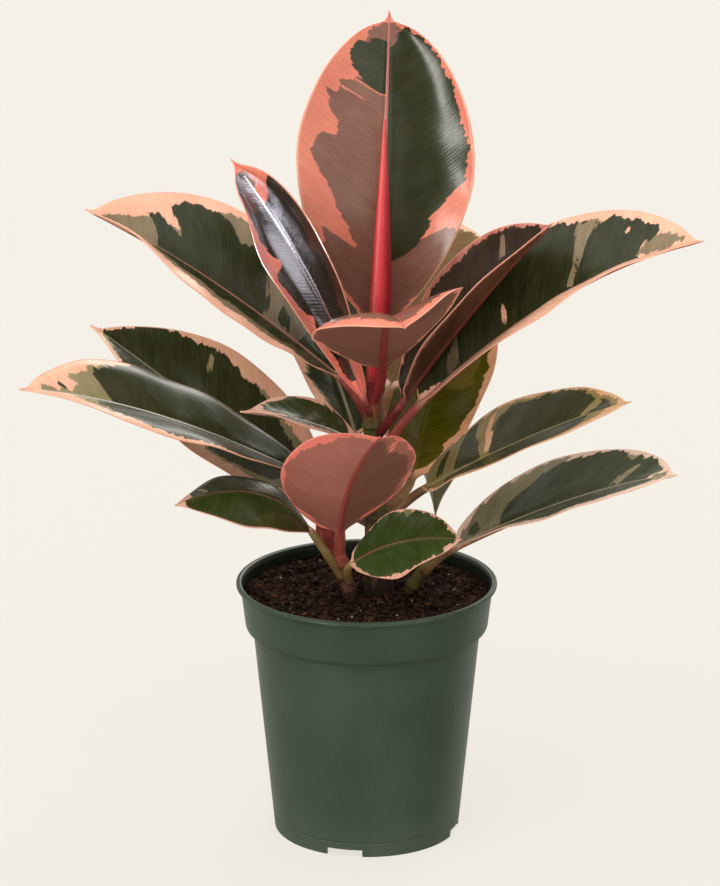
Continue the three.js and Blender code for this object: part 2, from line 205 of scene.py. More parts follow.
def makeStudio():
    world = bpy.data.worlds.new("lightTent")
    bpy.context.scene.world = world
    world.use_nodes = True
    tree = world.node_tree
    way = addNode(tree, "TexCoord", out="Generated")
    light = studio["strength"]
    for box in softboxes:
        light = addNode(tree, "Math", [softbox(tree, way, *box), light], operation="ADD")
    background = tree.nodes["Background"]
    background.inputs["Color"].default_value = linear(studio["tent"])
    tree.links.new(light, background.inputs["Strength"])

    # A strip light that only the young spear leaf takes, and only as shine
    strip = bpy.data.lights.new("spearStrip", "AREA")
    strip.shape = "RECTANGLE"
    strip.size, strip.size_y = spearStrip["wide"] * mm, spearStrip["tall"] * mm
    strip.energy = spearStrip["light"]
    strip.color = linear(spearStrip["colour"])[:3]
    lit = putInScene("spearStrip", strip)
    away = wayTo(spearStrip["turn"], spearStrip["height"])
    lit.location = (Vector(spearStrip["aim"]) + away * spearStrip["away"]) * mm
    leaning = Quaternion((0, 0, 1), math.radians(spearStrip["lean"]))
    lit.rotation_euler = (away.to_track_quat("Z", "Y") @ leaning).to_euler()
    lit.visible_diffuse = False
    lit.light_linking.receiver_collection = bpy.data.collections.new("spearOnly")

    for name, values in bounced.items():
        lamp = bpy.data.lights.new(name, "SUN")
        lamp.energy = values["light"]
        lamp.angle = math.radians(values["angle"])
        sun = putInScene(name, lamp)
        sun.rotation_euler = [math.radians(a) for a in values["turn"]]
        sun.visible_glossy = False  # bounced off the ceiling, so it leaves no highlight of its own

    half = studio["floorSize"] / 2 * mm
    mesh = bpy.data.meshes.new("studioFloor")
    corners = [(-half, -half, 0), (half, -half, 0), (half, half, 0), (-half, half, 0)]
    mesh.from_pydata(corners, [], [(0, 1, 2, 3)])
    paper, tree, shader = newFinish("litSweep", {"Roughness": 0.9, "Specular IOR Level": 0.0,
                                                 "Emission Color": linear(studio["floor"]),
                                                 "Emission Strength": studio["floorGlow"]})
    grain = addNode(tree, "TexNoise", {"Scale": studio["floorSize"] / studio["floorMottle"], "Detail": 3.0})
    tone = [c * studio["floorAlbedo"] for c in linear(studio["floor"])[:3]]
    bright = [c * studio["floorGrain"] for c in tone]
    shade = addNode(tree, "Mix", {0: grain, 6: (*tone, 1.0), 7: (*bright, 1.0)})
    tree.links.new(shade, shader.inputs["Base Color"])
    mesh.materials.append(paper)
    floor = putInScene("studioFloor", mesh)
    floor.visible_glossy = False
    bpy.context.scene.view_settings.view_transform = "Standard"


makeStudio()
print("studio set")

# Leaves. base, middle and tip lie on the midrib, and root is where the petiole leaves its stem.
# upper is where the upper face looks, and that is straight up unless it is given. left and right say
# how many degrees each half stands up at the base and at the tip, and curl how many degrees more it
# turns by its margin. cup bends both halves in a trough. leftTurns and rightTurns replace it with
# (part of the way from midrib to margin, degrees at the base, degrees at the tip).
# Each half's marks are painted in order, as outlines of (part of the way from base to tip, part of
# the way from midrib to margin). What no mark covers is the pale margin tissue, and a half without
# marks is painted by plainMarks.
leaves = {
    "leaf_crown": {
        "root": (5, 5, 276), "base": (8, 13, 326), "middle": (11, 20, 424), "tip": (14, 38, 524),
        "upper": (0, -1, 0.1), "width": 113, "widest": 0.56, "left": (8, 14), "right": (8, 12),
        "curl": (6, 6), "baseRound": 0.8, "tipRound": 0.51, "cup": 10,
        "rightTurns": [(0, -13, -13), (0.5, -7, -3), (1, 9, 29)], "look": "young",
        "leftMarks": [
            ("sage", [(0, 0), (.02, .7), (.06, .93), (.15, .97), (.25, .93), (.33, .8), (.3, .66),
                      (.27, .5), (.245, .32), (.29, .45), (.37, .52), (.44, .62), (.5, .72), (.57, .84),
                      (.63, .74), (.61, .55), (.65, .55), (.7, .66), (.755, .8), (.735, .62), (.785, .67),
                      (.79, .5), (.8, .3), (.8, 0)]),
            ("streak", [(.6, 0), (.63, .45), (.7, .55), (.78, .6), (.82, .5), (.8, 0)]),
            ("sage", [(.86, 0), (.89, .4), (.905, .62), (.92, .5), (.93, .66), (.945, .4), (.955, .3),
                      (.965, 0)]),
            ("green", [(.73, 0), (.74, .12), (.79, .42), (.83, .6), (.87, .74), (.9, .86), (.908, .74),
                       (.9, .5), (.915, .35), (.905, .15), (.89, 0)]),
        ],
        "rightMarks": [
            ("sage", [(0, 0), (.02, .7), (.06, .93), (.13, 1), (.3, 1), (.335, .93), (.33, .8), (.305, .65),
                      (.26, .3), (.25, 0)]),
            ("sage", [(.86, 0), (.89, .3), (.93, .5), (.955, .35), (.965, 0)]),
            ("green", [(.2, 0), (.22, .2), (.25, .38), (.3, .57), (.36, .62), (.42, .72), (.49, .89),
                       (.55, .93), (.63, .91), (.72, .89), (.77, .91), (.84, .9), (.9, .88), (.935, .84),
                       (.948, .66), (.935, .5), (.925, .3), (.905, .16), (.89, 0)]),
            ("sage", [(.885, .02), (.91, .06), (.94, .22), (.93, .3), (.905, .16)]),
        ],
    },
    "leaf_spear": {
        "root": (4, 0, 272), "base": (-1, -6, 284), "middle": (-35, -4, 364), "tip": (-84, 28, 432),
        "upper": (0.2, -1, 0.5), "width": 73, "widest": 0.6, "left": (44, 56), "right": (80, 66),
        "curl": (0, 6), "baseRound": 1.1, "tipRound": 0.72,
        "leftTurns": [(0, -30, -30), (0.3, -27, -27), (0.5, -4, -4), (0.75, 10, 10), (1, 14, 14)],
        "rightTurns": [(0, 14, -6), (0.5, 4, 4), (1, -8, -8)], "cup": 10, "look": "spear",
        "leftMarks": [
            ("green", [(.1, 0), (.1, .4), (.15, .66), (.28, .72), (.34, .55), (.37, .42), (.39, .58),
                       (.45, .68), (.5, .74), (.545, .78), (.565, .66), (.57, .5), (.585, .36), (.62, .5),
                       (.66, .6), (.69, .74), (.72, .7), (.76, .82), (.82, .87), (.9, .9), (.93, .75),
                       (.94, .3), (.93, 0)]),
        ],
        "rightMarks": [
            ("green", [(.18, 0), (.2, 1), (.86, 1), (.84, .7), (.815, .45), (.79, .1), (.8, 0)]),
            ("sage", [(.86, 0), (.88, .2), (.93, .38), (.945, .3), (.93, 0)]),
        ],
    },
    "leaf_front_cup": {
        "root": (4, 0, 281), "base": (10, -22, 310), "middle": (13, -96, 363), "tip": (22, -172, 380),
        "upper": (0.1, 0.4, 1), "width": 98, "widest": 0.49, "left": (26, 28), "right": (-6, -9),
        "curl": (6, -10), "leftTurns": [(0, 2, 14), (0.5, 2, 2), (1, -6, -16)],
        "rightTurns": [(0, 14, 24), (0.5, 0, 0), (1, -24, -34)], "look": "young",
        "leftMarks": [
            ("sage", [(0, 0), (.02, .6), (.08, .9), (.3, .94), (.6, .93), (.8, .9), (.88, .8), (.92, .5),
                      (.92, 0)]),
            ("green", [(.3, .5), (.36, .88), (.5, .9), (.52, .7), (.45, .4)]),
        ],
        "rightMarks": [
            ("sage", [(0, 0), (.02, .6), (.1, .9), (.4, .95), (.7, .93), (.85, .85), (.92, .5), (.92, 0)]),
            ("margin", [(.5, .6), (.6, .95), (.65, .95), (.58, .65)]),
        ],
    },
    "leaf_left_high": {
        "root": (4, 2, 264), "base": (-14, 3, 295), "middle": (-97, 24, 354), "tip": (-175, 20, 402),
        "width": 99, "widest": 0.53, "left": (15, 18), "right": (74, 48), "curl": (-22, -8), "cup": 2,
        "look": "high",
        "leftMarks": [
            ("sage", [(0, 0), (.02, .6), (.06, .9), (.12, .88), (.2, .74), (.3, .7), (.36, .74), (.45, .78),
                      (.55, .8), (.7, .78), (.8, .66), (.84, .3), (.84, 0)]),
            ("green", [(.14, 0), (.18, .4), (.24, .6), (.3, .52), (.36, .62), (.42, .56), (.5, .66),
                       (.56, .6), (.64, .68), (.72, .5), (.76, .25), (.76, 0)]),
        ],
        "rightMarks": [
            ("sage", [(.04, 0), (.05, .35), (.1, .85), (.3, .95), (.45, .95), (.52, .92), (.62, .9),
                      (.6, .6), (.7, .4), (.8, .52), (.84, .42), (.95, .3), (.93, 0)]),
            ("green", [(.02, 0), (.05, .3), (.12, .5), (.17, .42), (.19, .2), (.19, 0)]),
            ("green", [(.24, .08), (.27, .3), (.31, .34), (.3, .08)]),
            ("green", [(.33, 0), (.345, .2), (.385, .45), (.42, .66), (.47, .74), (.52, .62), (.56, .74),
                       (.6, .86), (.68, .88), (.73, .93), (.755, .75), (.72, .55), (.675, .3), (.73, .42),
                       (.78, .6), (.81, .68), (.815, .58), (.79, .4), (.75, .15), (.74, 0)]),
            ("margin", [(.8, .62), (.84, .5), (.97, .5), (1, 1), (.72, 1), (.76, .8)]),
        ],
    },
    "leaf_right_fold": {
        "root": (4, 1, 257), "base": (22, -10, 285), "middle": (68, -4, 346), "tip": (114, -14, 402),
        "width": 75, "widest": 0.53, "left": (41, 58), "right": (60, 14), "curl": (-3, -24), "cup": 4,
        "look": "fold",
        "leftMarks": [
            ("green", [(0, 0), (.01, .8), (.1, .93), (.3, .92), (.5, .88), (.6, .9), (.7, .92), (.85, .95),
                       (.93, .85), (.95, 0)]),
            ("sage", [(.715, .3), (.775, .74), (.788, .74), (.745, .32)]),
        ],
        "rightMarks": [
            ("sage", [(0, 0), (.02, .7), (.1, .85), (.3, .8), (.6, .8), (.85, .75), (.93, .5), (.95, 0)]),
            ("green", [(.03, .2), (.05, .7), (.35, .72), (.5, .5), (.4, .2)]),
        ],
    },
    "leaf_right_high": {
        "root": (4, 1, 238), "base": (30, -10, 281), "middle": (120, -4, 352), "tip": (206, -34, 396),
        "width": 96, "widest": 0.52, "left": (58, 50), "right": (25, 12), "curl": (2, -22), "cup": 2,
        "look": "high",
        "leftMarks": [
            ("green", [(.03, .6), (.07, .3), (.11, .1), (.13, 0), (.78, 0), (.8, .25), (.84, .45),
                       (.86, .62), (.855, .8), (.8, .86), (.76, .93), (.72, .9), (.7, .82), (.64, .95),
                       (.5, 1), (.1, 1), (.04, .9)]),
            ("sage", [(.135, .1), (.19, .1), (.23, .5), (.27, .62), (.22, .62), (.18, .4)]),
            ("margin", [(.35, .1), (.362, .35), (.376, .46), (.378, .25), (.36, .1)]),
            ("sage", [(.56, .06), (.6, .33), (.62, .62), (.645, .88), (.69, .93), (.7, .82), (.655, .62),
                      (.62, .35), (.58, .06)]),
            ("sage", [(.78, .08), (.82, .35), (.87, .5), (.925, .7), (.93, .5), (.92, .25), (.88, .06)]),
            ("margin", [(.765, .58), (.785, .66), (.775, .68), (.76, .6)]),
        ],
        "rightMarks": [
            ("sage", [(.05, 0), (.1, .25), (.28, .3), (.34, 0)]),
            ("sage", [(.4, 0), (.45, .12), (.68, .12), (.74, 0)]),
        ],
    },
    "leaf_left_inner": {
        "root": (4, 2, 240), "base": (-6, -11, 260), "middle": (-41, -28, 279), "tip": (-78, -44, 290),
        "width": 49, "widest": 0.5, "left": (0, 22), "right": (62, -10), "curl": (-14, 0), "look": "low",
        "leftMarks": [
            ("sage", [(0, 0), (.1, .5), (.3, .7), (.6, .6), (.8, .3), (.8, 0)]),
            ("green", [(.1, 0), (.2, .4), (.5, .4), (.7, .2), (.7, 0)]),
        ],
        "rightMarks": [
            ("green", [(.08, 0), (.1, .5), (.13, .8), (.2, .78), (.3, .9), (.5, .95), (.66, .88),
                       (.74, .75), (.78, .5), (.72, .3), (.6, .12), (.4, 0)]),
            ("sage", [(.68, .72), (.7, .85), (.76, .83), (.73, .7)]),
        ],
    },
    "leaf_left_long": {
        "root": (6, 2, 212), "base": (-26, -12, 231), "middle": (-123, -46, 286), "tip": (-210, -92, 319),
        "width": 83, "widest": 0.55, "left": (14, 5), "right": (28, 36), "curl": (-26, -4), "cup": 0,
        "rightTurns": [(0, 3, 3), (0.6, 3, 3), (0.8, -3, -3), (1, -16, -16)], "look": "old",
        "leftMarks": [
            ("green", [(.1, 0), (.1, .9), (.2, .97), (.4, .93), (.6, .9), (.74, .85), (.78, .5), (.76, 0)]),
            ("sage", [(.74, 0), (.78, .5), (.76, .86), (.82, .7), (.85, 0)]),
        ],
        "rightMarks": [
            ("sage", [(.6, 0), (.7, .86), (.75, .82), (.77, .74), (.79, .66), (.825, .7), (.83, .6),
                      (.8, .35), (.83, .2), (.88, .2), (.93, .4), (.93, 0)]),
            ("green", [(.05, 0), (.06, .9), (.1, 1), (.6, 1), (.66, .86), (.7, .8), (.74, .78), (.745, .6),
                       (.72, .3), (.68, 0)]),
            ("green", [(.81, .1), (.83, .12), (.865, .25), (.885, .44), (.865, .43), (.84, .3)]),
        ],
    },
    "leaf_left_mid": {
        "root": (6, 3, 200), "base": (-24, 22, 211), "middle": (-94, 22, 265), "tip": (-173, 20, 327),
        "width": 93, "widest": 0.54, "left": (-18, -4), "right": (60, 38), "curl": (-14, 3), "look": "old",
        "leftMarks": [
            ("sage", [(0, 0), (.05, .6), (.15, .8), (.5, .8), (.8, .85), (.93, .6), (.95, 0)]),
            ("green", [(.15, 0), (.2, .6), (.4, .75), (.7, .78), (.85, .7), (.92, .3), (.93, 0)]),
        ],
        "rightMarks": [
            ("sage", [(.03, 0), (.06, .5), (.2, .7), (.3, .76), (.38, .8), (.46, .78), (.42, 0)]),
            ("green", [(.14, 0), (.18, .45), (.25, .62), (.3, .68), (.33, .7), (.38, .74), (.42, .82),
                       (.465, .74), (.5, .8), (.55, .82), (.6, .89), (.66, .84), (.71, .86), (.76, .93),
                       (.82, .98), (.86, .9), (.9, .85), (.925, .6), (.945, .35), (.95, 0)]),
            ("sage", [(.57, .5), (.585, .73), (.6, .76), (.59, .6), (.575, .5)]),
        ],
    },
    "leaf_right_mid": {
        "root": (6, 2, 198), "base": (35, -7, 227), "middle": (97, -36, 269), "tip": (161, -72, 305),
        "width": 78, "widest": 0.51, "left": (56, 26), "right": (-4, -10), "curl": (-12, 8), "look": "tan",
        "leftMarks": [
            ("sage", [(0, 0), (.01, .7), (.06, .95), (.3, .95), (.6, .95), (.8, .9), (.93, .6), (.95, 0)]),
            ("green", [(.15, .05), (.17, .35), (.2, .75), (.23, .93), (.27, .92), (.275, .6), (.27, .3),
                       (.29, .05)]),
            ("green", [(.33, 0), (.33, .3), (.335, .5), (.37, .72), (.42, .88), (.52, .92), (.53, .84),
                       (.57, .92), (.63, .94), (.7, .92), (.755, .82), (.8, .72), (.84, .62), (.88, .5),
                       (.9, .3), (.88, 0)]),
            ("green", [(.08, .3), (.11, .6), (.14, .85), (.16, .8), (.135, .5), (.105, .25)]),
            ("margin", [(.31, .15), (.3, .5), (.33, .86), (.36, .9), (.345, .6), (.33, .3), (.325, .15)]),
            ("sage", [(.76, .1), (.79, .4), (.82, .64), (.85, .6), (.83, .3), (.79, .08)]),
        ],
        "rightMarks": [
            ("sage", [(0, 0), (.02, .7), (.1, .8), (.3, .8), (.6, .8), (.78, .6), (.86, .5), (.9, 0)]),
            ("green", [(.1, 0), (.14, .6), (.3, .75), (.6, .75), (.75, .6), (.8, .3), (.8, 0)]),
        ],
    },
    "leaf_right_low": {
        "root": (36, -6, 173), "base": (53, -14, 190), "middle": (127, -30, 228), "tip": (189, -82, 261),
        "width": 79, "widest": 0.49, "left": (49, 33), "right": (24, -10), "curl": (-12, -13),
        "look": "dusty",
        "leftMarks": [
            ("sage", [(.03, .1), (.05, .6), (.1, .85), (.2, .93), (.32, .95), (.42, .97), (.47, .95),
                      (.36, .7), (.3, .5), (.25, .3), (.25, 0), (.05, 0)]),
            ("green", [(.06, .15), (.08, .5), (.1, .62), (.125, .5), (.12, .2)]),
            ("sage", [(.655, .6), (.68, .86), (.74, .84), (.76, .74), (.7, .6)]),
            ("green", [(.19, 0), (.21, .3), (.24, .5), (.29, .6), (.35, .74), (.43, .85), (.54, .92),
                       (.62, .96), (.69, .94), (.685, .82), (.72, .7), (.745, .86), (.77, .82), (.8, .88),
                       (.85, .84), (.865, .74), (.885, .72), (.905, .5), (.88, .36), (.85, .15), (.83, 0)]),
            ("sage", [(.655, .05), (.68, .3), (.705, .42), (.765, .58), (.73, .35), (.7, .08)]),
            ("sage", [(.84, 0), (.87, .3), (.93, .35), (.95, 0)]),
        ],
        "rightMarks": [
            ("sage", [(.05, 0), (.12, .7), (.3, .85), (.6, .85), (.82, .75), (.93, .3), (.93, 0)]),
            ("green", [(.1, 0), (.15, .7), (.3, .8), (.6, .8), (.8, .7), (.88, .3), (.88, 0)]),
        ],
    },
    "leaf_left_low": {
        "root": (-15, -22, 174), "base": (-34, -40, 210), "middle": (-69, -54, 240),
        "tip": (-118, -68, 237),
        "width": 58, "widest": 0.52, "left": (-21, -24), "right": (26, 6), "curl": (-16, -18),
        "look": "low",
        "leftMarks": [("green", [(.03, 0), (.05, .8), (.09, 1), (.9, 1), (.94, .6), (.95, 0)])],
        "rightMarks": [
            ("green", [(.03, 0), (.06, .85), (.1, 1), (.78, 1), (.86, .85), (.9, .5), (.91, 0)]),
            ("sage", [(.77, .3), (.79, .62), (.82, .6), (.8, .3)]),
        ],
    },
    "leaf_front_pink": {
        "root": (-17, -28, 190), "base": (-17, -35, 208), "middle": (-9, -71, 255), "tip": (8, -112, 295),
        "upper": (0, 0.6, 0.7), "width": 86, "widest": 0.46, "left": (22, 34), "right": (2, 28),
        "curl": (-12, -7), "look": "pink",
        "leftMarks": [
            ("sage", [(0, 0), (.02, .7), (.08, .88), (.3, .96), (.6, .97), (.72, .94), (.82, .86),
                      (.88, .8), (.92, .6), (.95, .3), (.95, 0)]),
            # Painted shade: this green mark darkens the half that lies in shade, using the pink look's darker
            # green
            ("green", [(0, 0), (.03, .5), (.08, .74), (.2, .86), (.3, .9), (.45, .9), (.6, .86), (.68, .76),
                       (.7, .5), (.8, .56), (.88, .5), (.92, .2), (.92, 0)]),
            ("margin", [(.72, .5), (.8, .72), (.78, .8), (.7, .62)]),
        ],
        "rightMarks": [
            ("sage", [(0, 0), (.03, .6), (.08, .78), (.2, .9), (.3, .95), (.45, .95), (.6, .9), (.7, .8),
                      (.76, .72), (.82, .78), (.88, .66), (.93, .3), (.92, 0)]),
        ],
    },
    "leaf_front_small": {
        "root": (-11, -20, 171), "base": (-10, -35, 187), "middle": (21, -50, 207), "tip": (59, -60, 212),
        "upper": (0, -0.6, 0.8), "width": 48, "widest": 0.51, "left": (11, 0), "right": (-4, 10),
        "curl": (-3, -11), "look": "small",
        "leftMarks": [
            ("green", [(.02, 0), (.04, .7), (.08, .97), (.3, .97), (.48, .95), (.53, .78), (.57, .84),
                       (.6, .95), (.66, .86), (.72, .95), (.79, .96), (.83, .86), (.9, .82), (.95, .5),
                       (.97, 0)]),
            ("sage", [(.5, .86), (.54, .74), (.58, .86), (.56, .95)]),
        ],
        "rightMarks": [
            ("green", [(.02, 0), (.05, .6), (.1, .92), (.2, .98), (.35, .96), (.43, .84), (.5, .9),
                       (.62, .97), (.75, .97), (.82, .92), (.87, .82), (.86, .66), (.92, .55), (.96, .25),
                       (.97, 0)]),
        ],
    },
    "scale_front": {
        "root": (-14, -22, 176), "base": (-17, -21, 185), "middle": (-22, -21, 203), "tip": (-28, -22, 222),
        "upper": (0.1, -1, 0.3), "width": 16, "widest": 0.62, "left": (10, 16), "right": (10, 16),
        "curl": (6, 6), "look": "scale",
        "leftMarks": [],
        "rightMarks": [],
    },
    "leaf_back_left": {
        "root": (5, 2, 230), "base": (-6, 18, 252), "middle": (-30, 66, 306), "tip": (-58, 122, 342),
        "upper": (0.2, -0.6, 1), "width": 60, "widest": 0.52, "left": (20, 20), "right": (24, 20),
        "curl": (4, 4), "baseRound": 0.6, "look": "old",
        "rightMarks": [("green", [(.03, 0), (.05, 1), (.9, 1), (.95, 0)])],
    },
    "leaf_back_up": {
        "root": (4, 2, 258), "base": (14, 24, 282), "middle": (36, 78, 330), "tip": (60, 142, 363),
        "upper": (0, -0.6, 1), "width": 90, "widest": 0.58, "left": (16, 16), "right": (16, 16),
        "curl": (4, 4), "look": "tan_back",
    },
    "leaf_back_right": {
        "root": (6, 3, 210), "base": (28, 24, 223), "middle": (45, 88, 286), "tip": (50, 168, 322),
        "upper": (0, -0.6, 1), "width": 80, "widest": 0.5, "left": (24, 20), "right": (16, 12),
        "curl": (4, 4), "baseRound": 0.55, "look": "paintedBacklight",
        "leftMarks": [
            ("green", [(.03, 0), (.06, .6), (.12, .86), (.4, .92), (.7, .92), (.9, .75), (.94, 0)]),
        ],
        "rightMarks": [
            ("green", [(.03, 0), (.06, .5), (.11, .72), (.15, .62), (.19, .78), (.25, .84), (.3, .92),
                       (.36, .9), (.5, .88), (.7, .9), (.88, .75), (.93, 0)]),
            ("sage", [(.36, .2), (.38, .7), (.5, .72), (.46, .3)]),
        ],
    },
    "leaf_back_droop": {
        "root": (5, 3, 218), "base": (24, 40, 232), "middle": (38, 80, 226), "tip": (45, 88, 179),
        "upper": (0.5, 0.3, 1), "width": 50, "widest": 0.5, "left": (10, 10), "right": (10, 10),
        "curl": (0, 0), "look": "low",
        "leftMarks": [("green", [(0, 0), (.01, 1), (.97, 1), (.98, 0)])],
        "rightMarks": [("green", [(0, 0), (.01, 1), (.97, 1), (.98, 0)])],
    },
}

# What every leaf shares, as in the solids, and the finer relief of its skin
blade = {
    "middleThickness": 1.0, "marginThickness": 0.6, "baseRound": 0.75, "tipRound": 0.72,
    "dripStart": 0.965, "dripFlare": 3.0, "tipHalf": 0.2,
    "ribDepth": 2.0, "ribHalf": 1.9, "ribTaper": 0.3, "ribCord": 0.25,
    "ribSteps": (0.3, 0.6, 0.85, 1.0, 1.35),  # parts of the rib's half width
    "petioleRadius": 2.9, "petioleFlare": (1.15, 0.95), "petioleBend": 0.3,
    "slimmest": 0.6, "stoutFromWidth": 80,
    "wave": 0.7, "waves": 2.5, "leftPhase": 0.2, "rightPhase": 0.55,
    "veinSlope": 0.45, "veinCurve": 0.004, "veinPitch": 7.0, "veinRelief": 0.035, "ripple": 0.5,
    "cup": 6, "roll": 0.8, "rollFrom": 0.72, "stations": 116, "endsDrawn": 0.45, "columns": 22,
    "marginDrawn": 0.35, "petioleRings": 14, "joinEnd": 0.05,
    "cordSpan": 0.45, "troughDepth": 1.2, "troughAt": 1.7, "troughSpan": 0.9, "tipThinning": 0.55,
    "rippleWaves": 5, "petioleRidges": 9, "petioleRidge": 0.035, "petioleSwell": 0.12,
}


def halfWidth(leaf, u):
    widest = leaf["widest"]
    rising = u < widest
    drip = blade["dripStart"]
    part = np.where(rising, u / widest, np.maximum((drip - u) / (drip - widest), 0))
    own = {**blade, **leaf}
    power = np.where(rising, own["baseRound"], own["tipRound"])
    swell = np.sin(math.pi / 2 * np.clip(part, 0, 1)) ** power
    left = np.minimum((1 - u) / (1 - drip), 1)
    return np.hypot(leaf["width"] / 2 * swell, blade["tipHalf"] + blade["dripFlare"] * left ** 1.8)


def bezier(start, control, end, t):
    t = np.asarray(t)[:, None]
    place = (1 - t) ** 2 * start + 2 * t * (1 - t) * control + t * t * end
    way = unit(2 * (1 - t) * (control - start) + 2 * t * (end - control))
    return place, way


def squareTo(way, upper):
    up = unit(upper - (way @ upper)[:, None] * way)
    return np.cross(way, up), up


def ringsRound(place, across, up, angles, radius):
    turned = np.cos(angles)[:, None] * across[:, None, :] + np.sin(angles)[:, None] * up[:, None, :]
    return place[:, None, :] + radius * turned


def distanceTo(outline, across, along):
    # Signed distance to a closed outline: positive inside, in millimetres
    points = np.stack([along, across], -1)
    nearest = np.full(along.shape, 1e9)
    inside = np.zeros(along.shape, bool)
    for (x0, y0), (x1, y1) in zip(outline, outline[1:] + outline[:1]):
        edge = np.array([x1 - x0, y1 - y0])
        offset = points - (x0, y0)
        share = np.clip((offset @ edge) / max(edge @ edge, 1e-9), 0, 1)
        nearest = np.minimum(nearest, np.linalg.norm(offset - share[..., None] * edge, axis=-1))
        crosses = (y0 > across) != (y1 > across)
        inside ^= crosses & (along < x0 + (across - y0) * (x1 - x0) / ((y1 - y0) or 1e-9))
    return np.where(inside, nearest, -nearest)


def outwardSum(values, size):
    # Running sum from the midrib out to each margin
    result = np.zeros(values.shape)
    middle = values.shape[1] // 2
    for step in (1, -1):
        for j in range(middle + step, middle + step * (middle + 1), step):
            result[:, j] = result[:, j - step] + (values[:, j] + values[:, j - step]) / 2 * (
                size[:, j] - size[:, j - step])
    return result


def plainMarks(chance):
    # A hidden leaf: green to an uneven edge, with a greyer band outside it
    steps = np.linspace(0.08, 0.9, 12)
    edge = [(u, chance.uniform(0.55, 0.85)) for u in steps]
    band = [(u, min(p + chance.uniform(0.02, 0.14), 0.95)) for u, p in edge]
    return [("sage", [(0.03, 0)] + band + [(0.95, 0)]), ("green", [(0.06, 0)] + edge + [(0.92, 0)])]


def paintMarks(marks, leaf, length, along, across):
    # How far each point lies inside the green and the sage tissue
    faraway, pastEdge, sageRim = -40.0, 6.0, 0.4
    green = np.full(along.shape, faraway)
    sage = np.full(along.shape, faraway)
    for kind, outline in marks:
        corners = []
        for (u0, p0), (u1, p1) in zip(outline, outline[1:] + outline[:1]):
            for share in np.arange(0, 1, 1 / max(math.ceil(abs(u1 - u0) / 0.05), 1)):
                u, p = mix(u0, u1, share), mix(p0, p1, share)
                half = float(halfWidth(leaf, np.array(u)))
                out = -pastEdge if p <= 0 else (half + pastEdge if p >= 1 else p * half)
                corners.append((u * length, out))
        reach = distanceTo(corners, across, along)
        if kind == "green":
            green = np.maximum(green, reach)
            sage = np.maximum(sage, reach - sageRim)
        elif kind == "sage":
            sage = np.maximum(sage, reach)
            green = np.minimum(green, -reach)
        elif kind == "margin":
            green = np.minimum(green, -reach)
            sage = np.minimum(sage, -reach)
        elif kind == "streak":
            sage = np.where(reach > 0, np.minimum(sage, 1.0), sage)
    return green, sage


